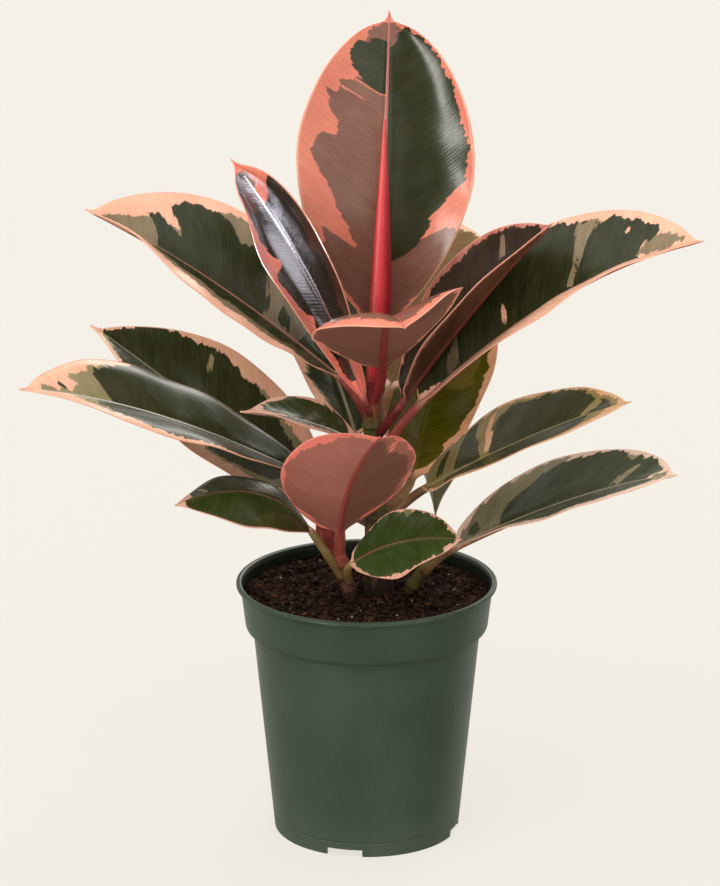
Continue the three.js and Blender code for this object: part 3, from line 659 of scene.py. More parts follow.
def leafShape(leaf, seed):
    chance = random.Random(seed)
    root, base, middle, tip = (np.array(leaf[k], float) for k in ("root", "base", "middle", "tip"))
    upper = np.array(leaf.get("upper", (0, 0, 1)), float)
    control = 2 * middle - (base + tip) / 2
    even = np.linspace(0, 1, blade["stations"])
    u = mix(even, (1 - np.cos(math.pi * even)) / 2, blade["endsDrawn"])
    centre, way = bezier(base, control, tip, u)
    across, up = squareTo(way, upper)
    run = np.concatenate([[0], np.cumsum(np.linalg.norm(np.diff(centre, axis=0), axis=1))])
    length = run[-1]

    half = halfWidth(leaf, u)
    taper = mix(1, blade["ribTaper"], u)
    rib = np.minimum(blade["ribHalf"] * taper, half / 1.8)
    inner = np.array(blade["ribSteps"])[None, :] * rib[:, None]
    outs = np.linspace(0, 1, blade["columns"] + 1)[1:]
    outs = mix(outs, np.sin(outs * math.pi / 2), blade["marginDrawn"])
    outer = mix(inner[:, -1:], half[:, None], outs[None, :])
    reach = np.concatenate([np.zeros((len(u), 1)), inner, outer], 1)
    signed = np.concatenate([-reach[:, :0:-1], reach], 1)
    size = np.abs(signed)
    side = np.where(signed < 0, -1.0, 1.0)
    uu = u[:, None]

    lift = [np.where(side < 0, leaf["left"][k], leaf["right"][k]) for k in (0, 1)]
    curl = np.where(side < 0, leaf["curl"][0], leaf["curl"][1])
    angle = np.radians(mix(lift[0], lift[1], uu) + curl * size / leaf["width"])
    # The halves bend up from the midrib in a soft trough
    flatTurn = -math.radians(leaf.get("cup", blade["cup"])) * np.cos(math.pi * size / half[:, None])
    for name, here in (("leftTurns", side < 0), ("rightTurns", side > 0)):
        if name in leaf:
            parts, low, high = zip(*leaf[name])
            outTo = size / half[:, None]
            turned = mix(np.interp(outTo, parts, low), np.interp(outTo, parts, high), uu * uu)
            flatTurn = np.where(here, np.radians(turned), flatTurn)
    bent = angle + flatTurn
    level = size * np.cos(angle) + outwardSum(np.cos(bent) - np.cos(angle), size)
    raised = size * np.sin(angle) + outwardSum(np.sin(bent) - np.sin(angle), size)
    out = np.clip((size - rib[:, None]) / np.maximum(half[:, None] - rib[:, None], 0.01), 0, 1)
    phase = np.where(side < 0, blade["leftPhase"], blade["rightPhase"])
    wave = blade["wave"] * out * out * np.sin(2 * math.pi * (blade["waves"] * uu + phase))

    foot = run[:, None] - blade["veinSlope"] * size - blade["veinCurve"] * size * size
    window = smooth(0.02, 0.3, out) * smooth(0, 0.1, uu) * smooth(1, 0.9, uu)
    veins = blade["veinRelief"] * np.cos(2 * math.pi * foot / blade["veinPitch"])
    veins = veins * window * smooth(1, 0.75, out)
    ripple = np.zeros(size.shape)
    for _ in range(blade["rippleWaves"]):
        kx, ks = chance.uniform(-0.12, 0.12), chance.uniform(0.05, 0.16)
        ripple += np.sin(kx * signed + ks * run[:, None] + chance.uniform(0, 6.3))
    rolled = blade["roll"] * smooth(blade["rollFrom"], 1.1, out) * smooth(0, 0.15, uu) * smooth(1, 0.85, uu)
    bend = wave + veins + blade["ripple"] * ripple / 2.2 * window - rolled

    slim = smooth(1.01, 0.95, uu)
    thick = mix(blade["middleThickness"], blade["marginThickness"], out) / 2
    thick = thick * mix(blade["tipThinning"], 1, slim)
    share = size / np.maximum(rib[:, None], 0.01)
    hump = np.clip(1 - share ** 2, 0, 1) ** 0.7
    cord = np.exp(-(size / (blade["cordSpan"] * blade["ribHalf"])) ** 2)
    trough = blade["troughDepth"] * np.exp(-((size - blade["troughAt"]) / blade["troughSpan"]) ** 2)
    topLift = bend + thick + blade["ribCord"] * (cord - trough) * smooth(1, 0.9, uu)
    lowLift = bend - thick - blade["ribDepth"] * taper[:, None] * hump * slim
    turnIn = smooth(0, blade["ribSteps"][-1], share)

    def skin(further, liftUp):
        # Points a little further out than the grid, and at a height off the blade's middle
        tilt = bent * turnIn
        sideways = side * (level + further * np.cos(bent)) - side * liftUp * np.sin(tilt)
        upward = raised + further * np.sin(bent) + liftUp * np.cos(tilt)
        onAcross, onUp = sideways[..., None] * across[:, None, :], upward[..., None] * up[:, None, :]
        return centre[:, None, :] + onAcross + onUp

    topFace = skin(0.0, topLift)
    lowFace = skin(0.0, lowLift)
    rims = skin(0.6 * thick, bend)
    ring = np.concatenate([topFace, rims[:, -1:], lowFace[:, ::-1], rims[:, :1]], 1)

    count = ring.shape[1]
    wide = signed.shape[1]
    turns = np.concatenate([
        math.pi * (1 - np.arange(1, wide + 1) / (wide + 1)), [0],
        -math.pi * np.arange(1, wide + 1) / (wide + 1), [math.pi],
    ])
    grown = min(leaf["width"] / blade["stoutFromWidth"], 1)
    stout = blade["petioleRadius"] * mix(blade["slimmest"], 1, grown)
    flare, neck = blade["petioleFlare"]
    circle = ringsRound(centre, across, up, turns, stout * neck)
    join = smooth(0, blade["joinEnd"], u)[:, None, None]
    ring = mix(circle, ring, join)

    steps = np.arange(blade["petioleRings"]) / blade["petioleRings"]
    bendPoint = base - blade["petioleBend"] * np.linalg.norm(base - root) * way[0]
    stalk, stalkWay = bezier(root, bendPoint, base, steps)
    stalkAcross, stalkUp = squareTo(stalkWay, upper)
    radius = stout * mix(flare, neck, steps) * (1 + blade["petioleSwell"] * np.exp(-(steps / 0.12) ** 2))
    ribbing = blade["petioleRidge"] * (smooth(0, 0.1, steps) * smooth(1, 0.85, steps))[:, None]
    ribbing = ribbing * np.cos(blade["petioleRidges"] * turns)
    around = (radius[:, None] * (1 + ribbing))[..., None]
    stalkRing = ringsRound(stalk, stalkAcross, stalkUp, turns, around)

    tissue = np.zeros((2, *size.shape))  # green and sage
    for name, here in (("leftMarks", side < 0), ("rightMarks", side > 0)):
        marks = leaf[name] if name in leaf else plainMarks(chance)
        painted = paintMarks(marks, leaf, length, np.broadcast_to(run[:, None], size.shape), size)
        tissue = np.where(here, painted, tissue)

    def wholeRing(values, low=None):
        # A value of the blade's grid for the upper face, the rims and the lower face
        values = np.broadcast_to(values, size.shape)
        low = values if low is None else np.broadcast_to(low, size.shape)
        return np.concatenate([values, values[:, -1:], low[:, ::-1], values[:, :1]], 1)

    ribShare = np.clip(share, 0, 4)
    fields = {
        "veinFoot": wholeRing(foot), "veinReach": wholeRing(signed), "outward": wholeRing(out),
        "along": wholeRing(uu), "greenEdge": wholeRing(tissue[0]), "sageEdge": wholeRing(tissue[1]),
        "lowerFace": wholeRing(0.0, 1.0), "ribShare": wholeRing(ribShare * 1.6, ribShare),
        "stalk": np.broadcast_to(1 - smooth(0, 0.04, u)[:, None], (len(u), count)),
    }
    stalkFields = {
        "veinFoot": -(1 - steps)[:, None] * 30, "veinReach": turns * 2, "outward": 0, "along": 0,
        "greenEdge": -20.0, "sageEdge": -20.0, "lowerFace": turns < 0, "ribShare": 0, "stalk": 1,
    }
    values = {}
    for key in fields:
        onStalk = np.broadcast_to(stalkFields[key], stalkRing.shape[:2])
        values[key] = np.concatenate([onStalk, fields[key]], 0)
    rings = np.concatenate([stalkRing, ring], 0)
    return rings.reshape(-1, 3), ringFaces(len(rings), count), values


# Leaf skins: a thick waxed cuticle over living tissue, grown in a roll inside a red sheath. It is
# glossy above and satin below. Green, half green and uncoloured cell layers show as dark, grey and
# pale tissue, with ragged edges along the side veins, and young leaves hold a red pigment over all.
oliveUnder = {
    "lowGreen": ("#55532F", "#62603C"), "lowSage": ("#8C7F58", "#988B66"),
    "lowPale": ("#DFA584", "#E6B594"), "lowRib": "#8A5A40",
}
backUnder = {
    "lowGreen": ("#4C4A14", "#5A5822"), "lowSage": ("#7C6A34", "#8A7844"),
    "lowPale": ("#E0B08C", "#EAC2A0"), "lowRib": "#8A5A3C", "stalk": ("#7A5438", "#96704C"),
}
looks = {
    "young": {
        "green": ("#242911", "#32371F"), "sage": ("#7A4E41", "#86604F"), "pale": ("#DE7A62", "#E88A72"),
        # stalk: the petioles' own dark red, darkened further as painted shade
        "edge": "#F3B096", "rib": "#BE6C64", "ribSpan": 1.5, "stalk": ("#742226", "#9C3236"),
        "lowGreen": ("#6C4A3A", "#7B5546"), "lowSage": ("#7C5044", "#8B5D50"),
        "lowPale": ("#EE8A6C", "#EF9C82"), "lowRib": "#8A2C2E", "baseShade": 1.0, "gloss": 0.2,
        "relief": 0.014, "index": 1.5,
    },
    "pink": {
        # Its green is a darker copy of its sage, used as painted shade on one half of the front pink leaf
        "green": ("#68423A", "#92604F"), "sage": ("#744840", "#B27264"), "pale": ("#C9605A", "#DC8074"),
        "edge": "#E88878", "rib": "#9A3436", "stalk": ("#7A3A2C", "#9A4A3C"),
        "lowGreen": ("#6F4437", "#7A4C3F"), "lowSage": ("#9A5A4C", "#A56658"),
        "lowPale": ("#DF6E60", "#E6806C"), "lowRib": "#8C3230",
    },
    "spear": {
        "green": ("#21190F", "#302417"), "sage": ("#6E5A42", "#85705A"), "pale": ("#D96A54", "#E58670"),
        # stalk: the petioles' own dark red, darkened further as painted shade
        "edge": "#EDA488", "rib": "#8A5A50", "stalk": ("#6A2220", "#943A38"),
        "lowGreen": ("#55402E", "#614A38"), "lowSage": ("#77594A", "#836656"),
        "lowPale": ("#DE7C66", "#E48E78"), "lowRib": "#8A3030", "gloss": 0.16, "relief": 0.02,
        "index": 1.6,
    },
    "high": {
        "green": ("#1E220B", "#30351A"), "sage": ("#76674B", "#8C7B5F"), "pale": ("#E9A98C", "#EFBDA0"),
        # stalk: the petioles' own dark red, darkened a little as painted shade
        "edge": "#E9A48A", "rib": "#A8705C", "stalk": ("#74282A", "#9C4A42"),
        "lowGreen": ("#4F4A30", "#5C563C"), "lowSage": ("#8A7458", "#968066"),
        "lowPale": ("#E09C80", "#E8AE92"), "lowRib": "#94493C", "baseShade": 0.36,
    },
    "fold": {
        "green": ("#261C13", "#35291C"), "sage": ("#745F4C", "#86705C"), "pale": ("#A85C50", "#D58A76"),
        # stalk: the petioles' own dark red, darkened further as painted shade
        "edge": "#E2A48E", "rib": "#8A3A38", "stalk": ("#5E1E1E", "#84342F"),
        "lowGreen": ("#3C2416", "#4C3020"), "lowSage": ("#4E3220", "#5E402C"),
        "lowPale": ("#B0705C", "#C88A72"), "lowRib": "#6A2A24",
    },
    "dusty": {**oliveUnder,
        "green": ("#363B28", "#464C36"), "sage": ("#7E7556", "#968C70"), "pale": ("#DDB79C", "#EACDB8"),
        "edge": "#E2B4A0", "rib": "#A89474", "stalk": ("#6A4A30", "#8A6A44"), "baseShade": 0.75,
    },
    "old": {**oliveUnder,
        "green": ("#22260F", "#34381D"), "sage": ("#80754F", "#928866"), "pale": ("#E2A284", "#EAB898"),
        "edge": "#DFA388", "rib": "#8E8566", "stalk": ("#6A4030", "#8A5A42"), "baseShade": 0.6,
    },
    "tan": {**oliveUnder,
        "green": ("#262910", "#35391A"), "sage": ("#78683B", "#8E7A4C"), "pale": ("#C8966C", "#D2A880"),
        "edge": "#D9A88A", "rib": "#8A7A50", "stalk": ("#6A4A32", "#84603E"),
        "lowPale": ("#D8A884", "#E0B694"),
    },
    "low": {
        "green": ("#2A300F", "#353C17"), "sage": ("#7C7448", "#8E8460"), "pale": ("#CF987E", "#DCAA92"),
        "edge": "#D99C88", "rib": "#8A5440", "ribSpan": 0.6, "stalk": ("#6E5A34", "#8A6E44"),
        "lowGreen": ("#4C5028", "#5A5E34"), "lowSage": ("#7C7448", "#8E8460"),
        "lowPale": ("#D8AC8E", "#E4C0A4"), "lowRib": "#8E6E44",
    },
    # Painted light: the olive-lime green and the bright saturated pale stand in for light shining through a
    # leaf lit from behind
    "paintedBacklight": {**backUnder,
        "green": ("#4A4502", "#625C0A"), "sage": ("#70601E", "#84722E"), "pale": ("#F0A87C", "#F6BC94"),
        "edge": "#E8A07C", "rib": "#5E5812",
    },
    "tan_back": {**backUnder,
        "green": ("#6A5030", "#80643E"), "sage": ("#7E6240", "#947850"), "pale": ("#DDB08E", "#E8C2A4"),
        "edge": "#E0A488", "rib": "#7A5A30",
    },
    "scale": {
        "green": ("#8A3A34", "#8A3A34"), "sage": ("#7A3028", "#8A3A34"), "pale": ("#7A2C28", "#9C4638"),
        "edge": "#B05C4C", "rib": "#8A2E2C", "stalk": ("#8A4634", "#9A5440"),
        "lowGreen": ("#8A3A34", "#8A3A34"), "lowSage": ("#8A3A34", "#8A3A34"),
        "lowPale": ("#9C3A34", "#C25A4C"), "lowRib": "#8A2E2C",
    },
}
looks["small"] = {
    **looks["low"], "green": ("#28360F", "#3A4B1F"), "sage": ("#5E6A3A", "#7A7C50"), "ribSpan": 0.5,
}

cuticle = {
    "lobePitch": 6.5, "lobeRun": 70.0, "lobeDepth": 7.5,
    "fingerPitch": 2.4, "fingerRun": 20.0, "fingerDepth": 5.0,
    "threadPitch": 0.9, "threadRun": 9.0, "threadDepth": 1.8,
    "blotchPitch": 9.0, "blotchRun": 24.0,
    # Real pores are far finer, and these are drawn as coarse as they need to show
    "porePitch": 0.5, "poreRun": 5.0,
    "edgeSoftness": 0.3, "sideVeinPitch": 2.4, "gloss": 0.25, "satin": 0.45, "relief": 0.012,
}


def readFields(tree, *names):
    return {name: addNode(tree, "Attribute", out="Fac", attribute_name=name) for name in names}


def veinNoise(tree, place, pitch, run, shift, detail=2.0):
    # Noise drawn out along the side veins: pitch across them, run along them
    moved = addNode(tree, "Mapping", {"Vector": place, "Location": (shift, shift * 0.7, shift * 1.3),
                                      "Scale": (1 / pitch, 1 / run, 1.0)})
    return addNode(tree, "TexNoise", {"Vector": moved, "Scale": 1.0, "Detail": detail, "Roughness": 0.6})


def leafFinish(name, look, seed):
    material, tree, skin = newFinish(name, {"IOR": look.get("index", 1.45), "Coat Weight": 0.0})
    read = readFields(tree, "veinFoot", "veinReach", "outward", "along", "greenEdge", "sageEdge", "lowerFace",
                      "ribShare", "stalk")
    place = addNode(tree, "CombineXYZ", [read["veinFoot"], read["veinReach"], seed * 3.7])
    fingers = veinNoise(tree, place, cuticle["fingerPitch"], cuticle["fingerRun"], 0.0, 3.0)
    threads = veinNoise(tree, place, cuticle["threadPitch"], cuticle["threadRun"], 11.0)
    blotch = veinNoise(tree, place, cuticle["blotchPitch"], cuticle["blotchRun"], 23.0)
    pores = veinNoise(tree, place, cuticle["porePitch"], cuticle["poreRun"], 37.0)

    # Tissue masks: the painted edge, pushed in and out by lobes, fingers and threads
    lobes = veinNoise(tree, place, cuticle["lobePitch"], cuticle["lobeRun"], 51.0, 1.0)
    ragged = -(cuticle["lobeDepth"] + cuticle["fingerDepth"]) / 2
    for wander, depth in ((lobes, "lobeDepth"), (fingers, "fingerDepth"), (threads, "threadDepth")):
        ragged = addNode(tree, "Math", [wander, cuticle[depth], ragged], operation="MULTIPLY_ADD")
    masks = {}
    soft = cuticle["edgeSoftness"]
    for key, wider in (("greenEdge", 0.0), ("sageEdge", 0.2)):
        moved = addNode(tree, "Math", [read[key], ragged], operation="ADD")
        moved = addNode(tree, "Math", [moved, wider - cuticle["threadDepth"] / 2], operation="ADD")
        masks[key] = addNode(tree, "MapRange", [moved, -soft, soft, 0.0, 1.0],
                             interpolation_type="SMOOTHSTEP")

    tone = addNode(tree, "Math", [blotch, threads], operation="ADD")
    tone = addNode(tree, "MapRange", [tone, 0.75, 1.25, 0.0, 1.0])
    tissue = {}
    for key in ("green", "sage", "pale", "lowGreen", "lowSage", "lowPale"):
        dark, light = look[key]
        tissue[key] = addNode(tree, "Mix", {0: tone, 6: linear(dark), 7: linear(light)})
    shaded = addNode(tree, "MapRange", [read["along"], 0.02, 0.42, look.get("baseShade", 0.7), 1.0],
                     interpolation_type="SMOOTHSTEP")
    for key in ("sage", "lowSage"):
        tissue[key] = addNode(tree, "Mix", {0: 1.0, 6: tissue[key], 7: shaded}, blend_type="MULTIPLY")
    faces = []
    for green, sage, pale in (("green", "sage", "pale"), ("lowGreen", "lowSage", "lowPale")):
        layered = addNode(tree, "Mix", {0: masks["sageEdge"], 6: tissue[pale], 7: tissue[sage]})
        faces.append(addNode(tree, "Mix", {0: masks["greenEdge"], 6: layered, 7: tissue[green]}))
    colour = addNode(tree, "Mix", {0: read["lowerFace"], 6: faces[0], 7: faces[1]})

    # Side veins: fine, parallel and a shade paler than the tissue between them
    ridge = addNode(tree, "Math", [read["veinFoot"], 2 * math.pi / cuticle["sideVeinPitch"]],
                    operation="MULTIPLY")
    ridge = addNode(tree, "Math", [fingers, 2.5, ridge], operation="MULTIPLY_ADD")
    ridge = addNode(tree, "Math", [ridge], operation="SINE")
    veinShade = addNode(tree, "MapRange", [ridge, 0.2, 1.0, 0.0, 0.04])
    colour = addNode(tree, "Mix", {0: veinShade, 6: colour, 7: linear(look["sage"][1])})
    speck = addNode(tree, "MapRange", [pores, 0.3, 0.7, 0.94, 1.05])
    colour = addNode(tree, "Mix", {0: 1.0, 6: colour, 7: speck}, blend_type="MULTIPLY")

    # The gristly rim, the midrib and the petiole
    rim = addNode(tree, "MapRange", [read["outward"], 0.965, 0.995, 0.0, 0.85])
    span = look.get("ribSpan", 1.0)
    ribMask = addNode(tree, "MapRange", [read["ribShare"], 0.7 * span, 1.25 * span, 0.9, 0.0],
                      interpolation_type="SMOOTHSTEP")
    rib = addNode(tree, "Mix", {0: read["lowerFace"], 6: linear(look["rib"]), 7: linear(look["lowRib"])})
    stalkTone = addNode(tree, "MapRange", [blotch, 0.35, 0.65, 0.0, 1.0])
    stalk = addNode(tree, "Mix", {0: stalkTone, 6: linear(look["stalk"][0]), 7: linear(look["stalk"][1])})
    for share, shade in ((rim, linear(look["edge"])), (ribMask, rib), (read["stalk"], stalk)):
        colour = addNode(tree, "Mix", {0: share, 6: colour, 7: shade})

    gloss = look.get("gloss", cuticle["gloss"])
    wax = addNode(tree, "MapRange", [read["lowerFace"], 0.0, 1.0, gloss, cuticle["satin"]])
    worn = addNode(tree, "Math", [threads, 0.14, wax], operation="MULTIPLY_ADD")
    worn = addNode(tree, "Math", [worn, -0.07], operation="ADD")
    height = addNode(tree, "Math", [pores, 4.0, ridge], operation="MULTIPLY_ADD")
    dressSkin(tree, skin, colour, worn, height, look.get("relief", cuticle["relief"]), 0.55)
    return material


def growLeaves():
    for seed, (node, leaf) in enumerate(leaves.items()):
        points, faces, fields = leafShape(leaf, seed + 5)
        finish = leafFinish("waxed_" + node, looks[leaf["look"]], seed + 1)
        makePiece("grown_" + node, points, faces, finish, (node,), fields)


growLeaves()
bpy.data.collections["spearOnly"].objects.link(bpy.data.objects["grown_leaf_spear"])
print("leaves grown")

# Stems: the same centre lines and radii as the solids, with leaf rings and scars. Their bark is a thin
# brown cork, matt and flaky on the old wood, and upward it gives way to smooth green and red skin.
stems = {
    "stem_main": {
        "path": [(8, 1, 100), (8, 1, 158), (6, 2, 212), (4, 1, 262), (4, 0, 296)],
        "radii": (7, 10, 8, 6.6, 5.6), "rings": (176, 192, 207, 222, 238, 252, 267),
        "sides": 72, "pitch": 0.75, "slot": "bark", "cork": (0.75, 150, 232),
        "dark": [(150, "#1E140E"), (178, "#3E2A1C"), (205, "#42351F"), (235, "#3F3D1D"), (266, "#3D401A"),
                 (282, "#5C2A20"), (296, "#6C2228")],
        "light": [(150, "#56402C"), (178, "#7E5C3E"), (205, "#6F5C3A"), (235, "#68662F"), (266, "#676A2E"),
                  (282, "#94503A"), (296, "#A04242")],
    },
    "stem_front": {
        "path": [(-8, -12, 112), (-10, -17, 158), (-14, -22, 177), (-17, -29, 192)],
        "radii": (3.6, 4.8, 4.6, 3.8), "rings": (166, 177, 186),
        "sides": 56, "pitch": 0.6, "slot": "bark", "cork": (0.45, 150, 196),
        "dark": [(150, "#1C120C"), (168, "#38221A"), (180, "#6A3A2A"), (192, "#7C342C")],
        "light": [(150, "#4A3222"), (168, "#664632"), (180, "#9C6044"), (192, "#A8584A")],
    },
    "stem_right": {
        "path": [(23, 3, 116), (27, 0, 156), (32, -3, 168), (38, -7, 176)], "radii": (3, 3.8, 3.6, 3.8),
        "rings": (162,), "sides": 56, "pitch": 0.6, "slot": "green_shoot", "cork": (0.2, 150, 170),
        "dark": [(150, "#3A3216"), (162, "#4A461A"), (176, "#565222")],
        "light": [(150, "#5E5428"), (162, "#6E6A2C"), (176, "#7C7638")],
    },
}
ringShape = {
    "swell": 0.7, "span": 2.4, "crest": 0.35, "crestSpan": 0.45,
    "groove": 0.3, "grooveBelow": 1.1, "grooveSpan": 0.5,
}

bark = {
    "fleck": 1.43, "fleckDrawn": 0.35, "blotch": 6.25, "scar": "#3A2418",
    "youngFrom": (200.0, 270.0), "roughness": (0.78, 0.42), "relief": 0.4,
}


def smoothPath(points, pitch):
    # A smooth curve through the points, walked at an even pace
    points = np.array(points, float)
    ends = np.vstack([2 * points[0] - points[1], points, 2 * points[-1] - points[-2]])
    dense = []
    t = np.linspace(0, 1, 200, endpoint=False)[:, None]
    for i in range(len(points) - 1):
        p0, p1, p2, p3 = ends[i:i + 4]
        d0, d1, d2 = (np.linalg.norm(b - a) ** 0.5 for a, b in ((p0, p1), (p1, p2), (p2, p3)))
        leave = ((p1 - p0) / d0 - (p2 - p0) / (d0 + d1) + (p2 - p1) / d1) * d1
        arrive = ((p2 - p1) / d1 - (p3 - p1) / (d1 + d2) + (p3 - p2) / d2) * d1
        dense.append(p1 + leave * t + (3 * (p2 - p1) - 2 * leave - arrive) * t ** 2
                     + (2 * (p1 - p2) + leave + arrive) * t ** 3)
    dense = np.vstack(dense + [points[-1:]])
    run = np.concatenate([[0], np.cumsum(np.linalg.norm(np.diff(dense, axis=0), axis=1))])
    count = int(run[-1] / pitch) + 1
    steps = np.linspace(0, run[-1], count)
    place = np.stack([np.interp(steps, run, dense[:, k]) for k in range(3)], 1)
    return place, unit(np.gradient(place, axis=0)), steps / run[-1]


def between(values, t):
    return np.interp(t * (len(values) - 1), range(len(values)), values)


def roundBar(place, way, radius, angles):
    across = unit(np.cross((0, 1, 0), way))
    return ringsRound(place, across, np.cross(way, across), angles, radius[..., None])


def stemRings(stem, extra=0.0, sides=None, pitch=None, relief=True):
    place, way, t = smoothPath(stem["path"], pitch or stem["pitch"])
    angles = np.linspace(0, 2 * math.pi, sides or stem["sides"], endpoint=False)
    height = place[:, 2]
    radius = between(stem["radii"], t) + extra
    mark = np.zeros(len(t))
    for level in stem["rings"]:
        radius = radius + ringShape["swell"] * np.exp(-((height - level) / ringShape["span"]) ** 2)
        if relief:
            radius = radius + ringShape["crest"] * np.exp(-((height - level) / ringShape["crestSpan"]) ** 2)
            groove = (height - level + ringShape["grooveBelow"]) / ringShape["grooveSpan"]
            radius = radius - ringShape["groove"] * np.exp(-groove ** 2)
        mark = np.maximum(mark, np.exp(-((height - level + 0.7) / 0.9) ** 2))
    radius = np.repeat(radius[:, None], len(angles), 1)
    rough = np.zeros(radius.shape)
    if relief:
        depth, low, high = stem["cork"]
        for i, z in enumerate(height):
            strength = depth * float(smooth(high, low, z)) + 0.06
            for j, a in enumerate(angles):
                spot = Vector((math.cos(a) * 1.9, math.sin(a) * 1.9, z * 0.16))
                flake = noise.turbulence(spot, 4, False)
                grain = noise.noise(Vector((math.cos(a) * 6, math.sin(a) * 6, z * 0.9)))
                rough[i, j] = strength * (flake - 0.55) + 0.08 * grain
        if stem["slot"] == "bark":
            rough = rough * smooth(0, 3, place[-1, 2] - height)[:, None]
    return roundBar(place, way, radius + rough, angles), height, mark, rough


def barkFinish(name, stem):
    material, tree, skin = newFinish(name, {"IOR": 1.45})
    read = readFields(tree, "rise", "ringMark", "cork")
    low, high = stem["dark"][0][0], stem["dark"][-1][0]
    along = addNode(tree, "MapRange", [read["rise"], low, high, 0.0, 1.0])
    tones = []
    for key in ("dark", "light"):
        stops = [((z - low) / (high - low), colour) for z, colour in stem[key]]
        tones.append(addNode(tree, "ValToRGB", [along], stops=stops))
    spot = addNode(tree, "TexCoord", out="Object")
    drawn = addNode(tree, "Mapping", {"Vector": spot, "Scale": (1.0, 1.0, bark["fleckDrawn"])})
    flecks = addNode(tree, "TexNoise", {"Vector": drawn, "Scale": perMetre(bark["fleck"]), "Detail": 5.0,
                                        "Roughness": 0.65})
    blotch = addNode(tree, "TexNoise", {"Vector": spot, "Scale": perMetre(bark["blotch"]), "Detail": 2.0})
    share = addNode(tree, "Math", [blotch, 0.7, flecks], operation="MULTIPLY_ADD")
    share = addNode(tree, "Math", [read["cork"], 0.7, share], operation="MULTIPLY_ADD")
    share = addNode(tree, "MapRange", [share, 0.6, 1.15, 0.0, 1.0])
    colour = addNode(tree, "Mix", {0: share, 6: tones[0], 7: tones[1]})
    scar = addNode(tree, "Math", [read["ringMark"], 0.75], operation="MULTIPLY")
    colour = addNode(tree, "Mix", {0: scar, 6: colour, 7: linear(bark["scar"])})
    gloss = addNode(tree, "MapRange", [read["rise"], *bark["youngFrom"], *bark["roughness"]])
    gloss = addNode(tree, "Math", [flecks, 0.15, gloss], operation="MULTIPLY_ADD")
    dressSkin(tree, skin, colour, gloss, flecks, bark["relief"], 0.7)
    return material


def growStems():
    for node, stem in stems.items():
        rings, height, mark, rough = stemRings(stem)
        count = rings.shape[1]
        fields = {"rise": np.repeat(height, count), "ringMark": np.repeat(mark, count), "cork": rough}
        makePiece("grown_" + node, rings.reshape(-1, 3), ringFaces(len(rings), count),
                  barkFinish("bark_" + node, stem), (node,), fields)


growStems()
print("stems grown")

# Bud sheath: a smooth, waxy rolled scale. Its free edge winds up the right side as a darker seam,
# and faint ridges run to the point. Across it, a painted highlight runs left of centre, and the
# tone darkens towards both edges.
sheath = {
    "path": [(4, -1, 296.5), (8, -3, 341), (10, -3, 405), (11, 0, 464)], "radii": (4.8, 6.9, 4.3, 0.7),
    "sides": 96, "pitch": 0.8, "seamStart": -62.0, "seamTurn": 38.0, "seamStep": 0.45, "seamSpread": 0.45,
    "paintedHighlightTones": [(0.0, "#B02C34"), (0.16, "#D8424A"), (0.27, "#EE7C74"), (0.36, "#E2494F"),
                    (0.55, "#D23A42"), (0.74, "#AA262E"), (1.0, "#A02630")],
    "foot": "#8C4238", "tip": "#E46A62", "seam": "#8E1E28",
    "ridgeCounts": (34.0, 3.0, 1.0), "roughness": (0.28, 0.42), "relief": 0.2,
}


def sheathFinish():
    material, tree, skin = newFinish("bud_sheath_wax", {"IOR": 1.45})
    read = readFields(tree, "turn", "rise", "seam")
    place = addNode(tree, "CombineXYZ", [read["turn"], read["rise"], 0.0])
    drawn = addNode(tree, "Mapping", {"Vector": place, "Scale": sheath["ridgeCounts"]})
    ridges = addNode(tree, "TexNoise", {"Vector": drawn, "Scale": 1.0, "Detail": 3.0, "Roughness": 0.6})
    across = addNode(tree, "Math", [ridges, 0.12, read["turn"]], operation="MULTIPLY_ADD")
    # Painted highlight: a pale coral stripe left of centre across the sheath
    colour = addNode(tree, "ValToRGB", [across], stops=sheath["paintedHighlightTones"])
    foot = addNode(tree, "MapRange", [read["rise"], 0.0, 0.06, 0.75, 0.0])
    tip = addNode(tree, "MapRange", [read["rise"], 0.7, 1.0, 0.0, 0.55])
    for share, shade in ((foot, "foot"), (tip, "tip"), (read["seam"], "seam")):
        colour = addNode(tree, "Mix", {0: share, 6: colour, 7: linear(sheath[shade])})
    gloss = addNode(tree, "MapRange", [ridges, 0.3, 0.7, *sheath["roughness"]])
    dressSkin(tree, skin, colour, gloss, ridges, sheath["relief"], 0.6)
    return material


def rollSheath():
    place, way, t = smoothPath(sheath["path"], sheath["pitch"])
    angles = np.linspace(0, 2 * math.pi, sheath["sides"], endpoint=False)
    radius = np.repeat(between(sheath["radii"], t)[:, None], len(angles), 1)
    seamAt = np.radians(sheath["seamStart"] + sheath["seamTurn"] * t)[:, None]
    off = np.angle(np.exp(1j * (angles[None, :] - seamAt)))
    step = sheath["seamStep"] * np.minimum(radius / 5, 1)
    radius = radius - step * np.where(off > 0, np.exp(-off / sheath["seamSpread"]), 0)
    seam = np.exp(-(off / 0.07) ** 2) * smooth(0, 0.05, t)[:, None] * 0.8
    ridges = 0.05 * np.sin(angles[None, :] * 9 + 2 * t[:, None]) + 0.04 * np.sin(angles[None, :] * 17 + 1.3)
    radius = radius + ridges * np.minimum(radius / 3, 1)
    rings = roundBar(place, way, radius, angles)
    # turn runs from 0 at the left edge, as seen from the front, to 1 at the right edge
    turn = (1 + np.cos(angles)) / 2
    fields = {"turn": np.broadcast_to(turn, radius.shape), "seam": seam, "rise": np.repeat(t, len(angles))}
    makePiece("rolled_bud_sheath", rings.reshape(-1, 3), ringFaces(len(rings), len(angles)), sheathFinish(),
              ("bud_sheath",), fields)


rollSheath()
print("sheath rolled")
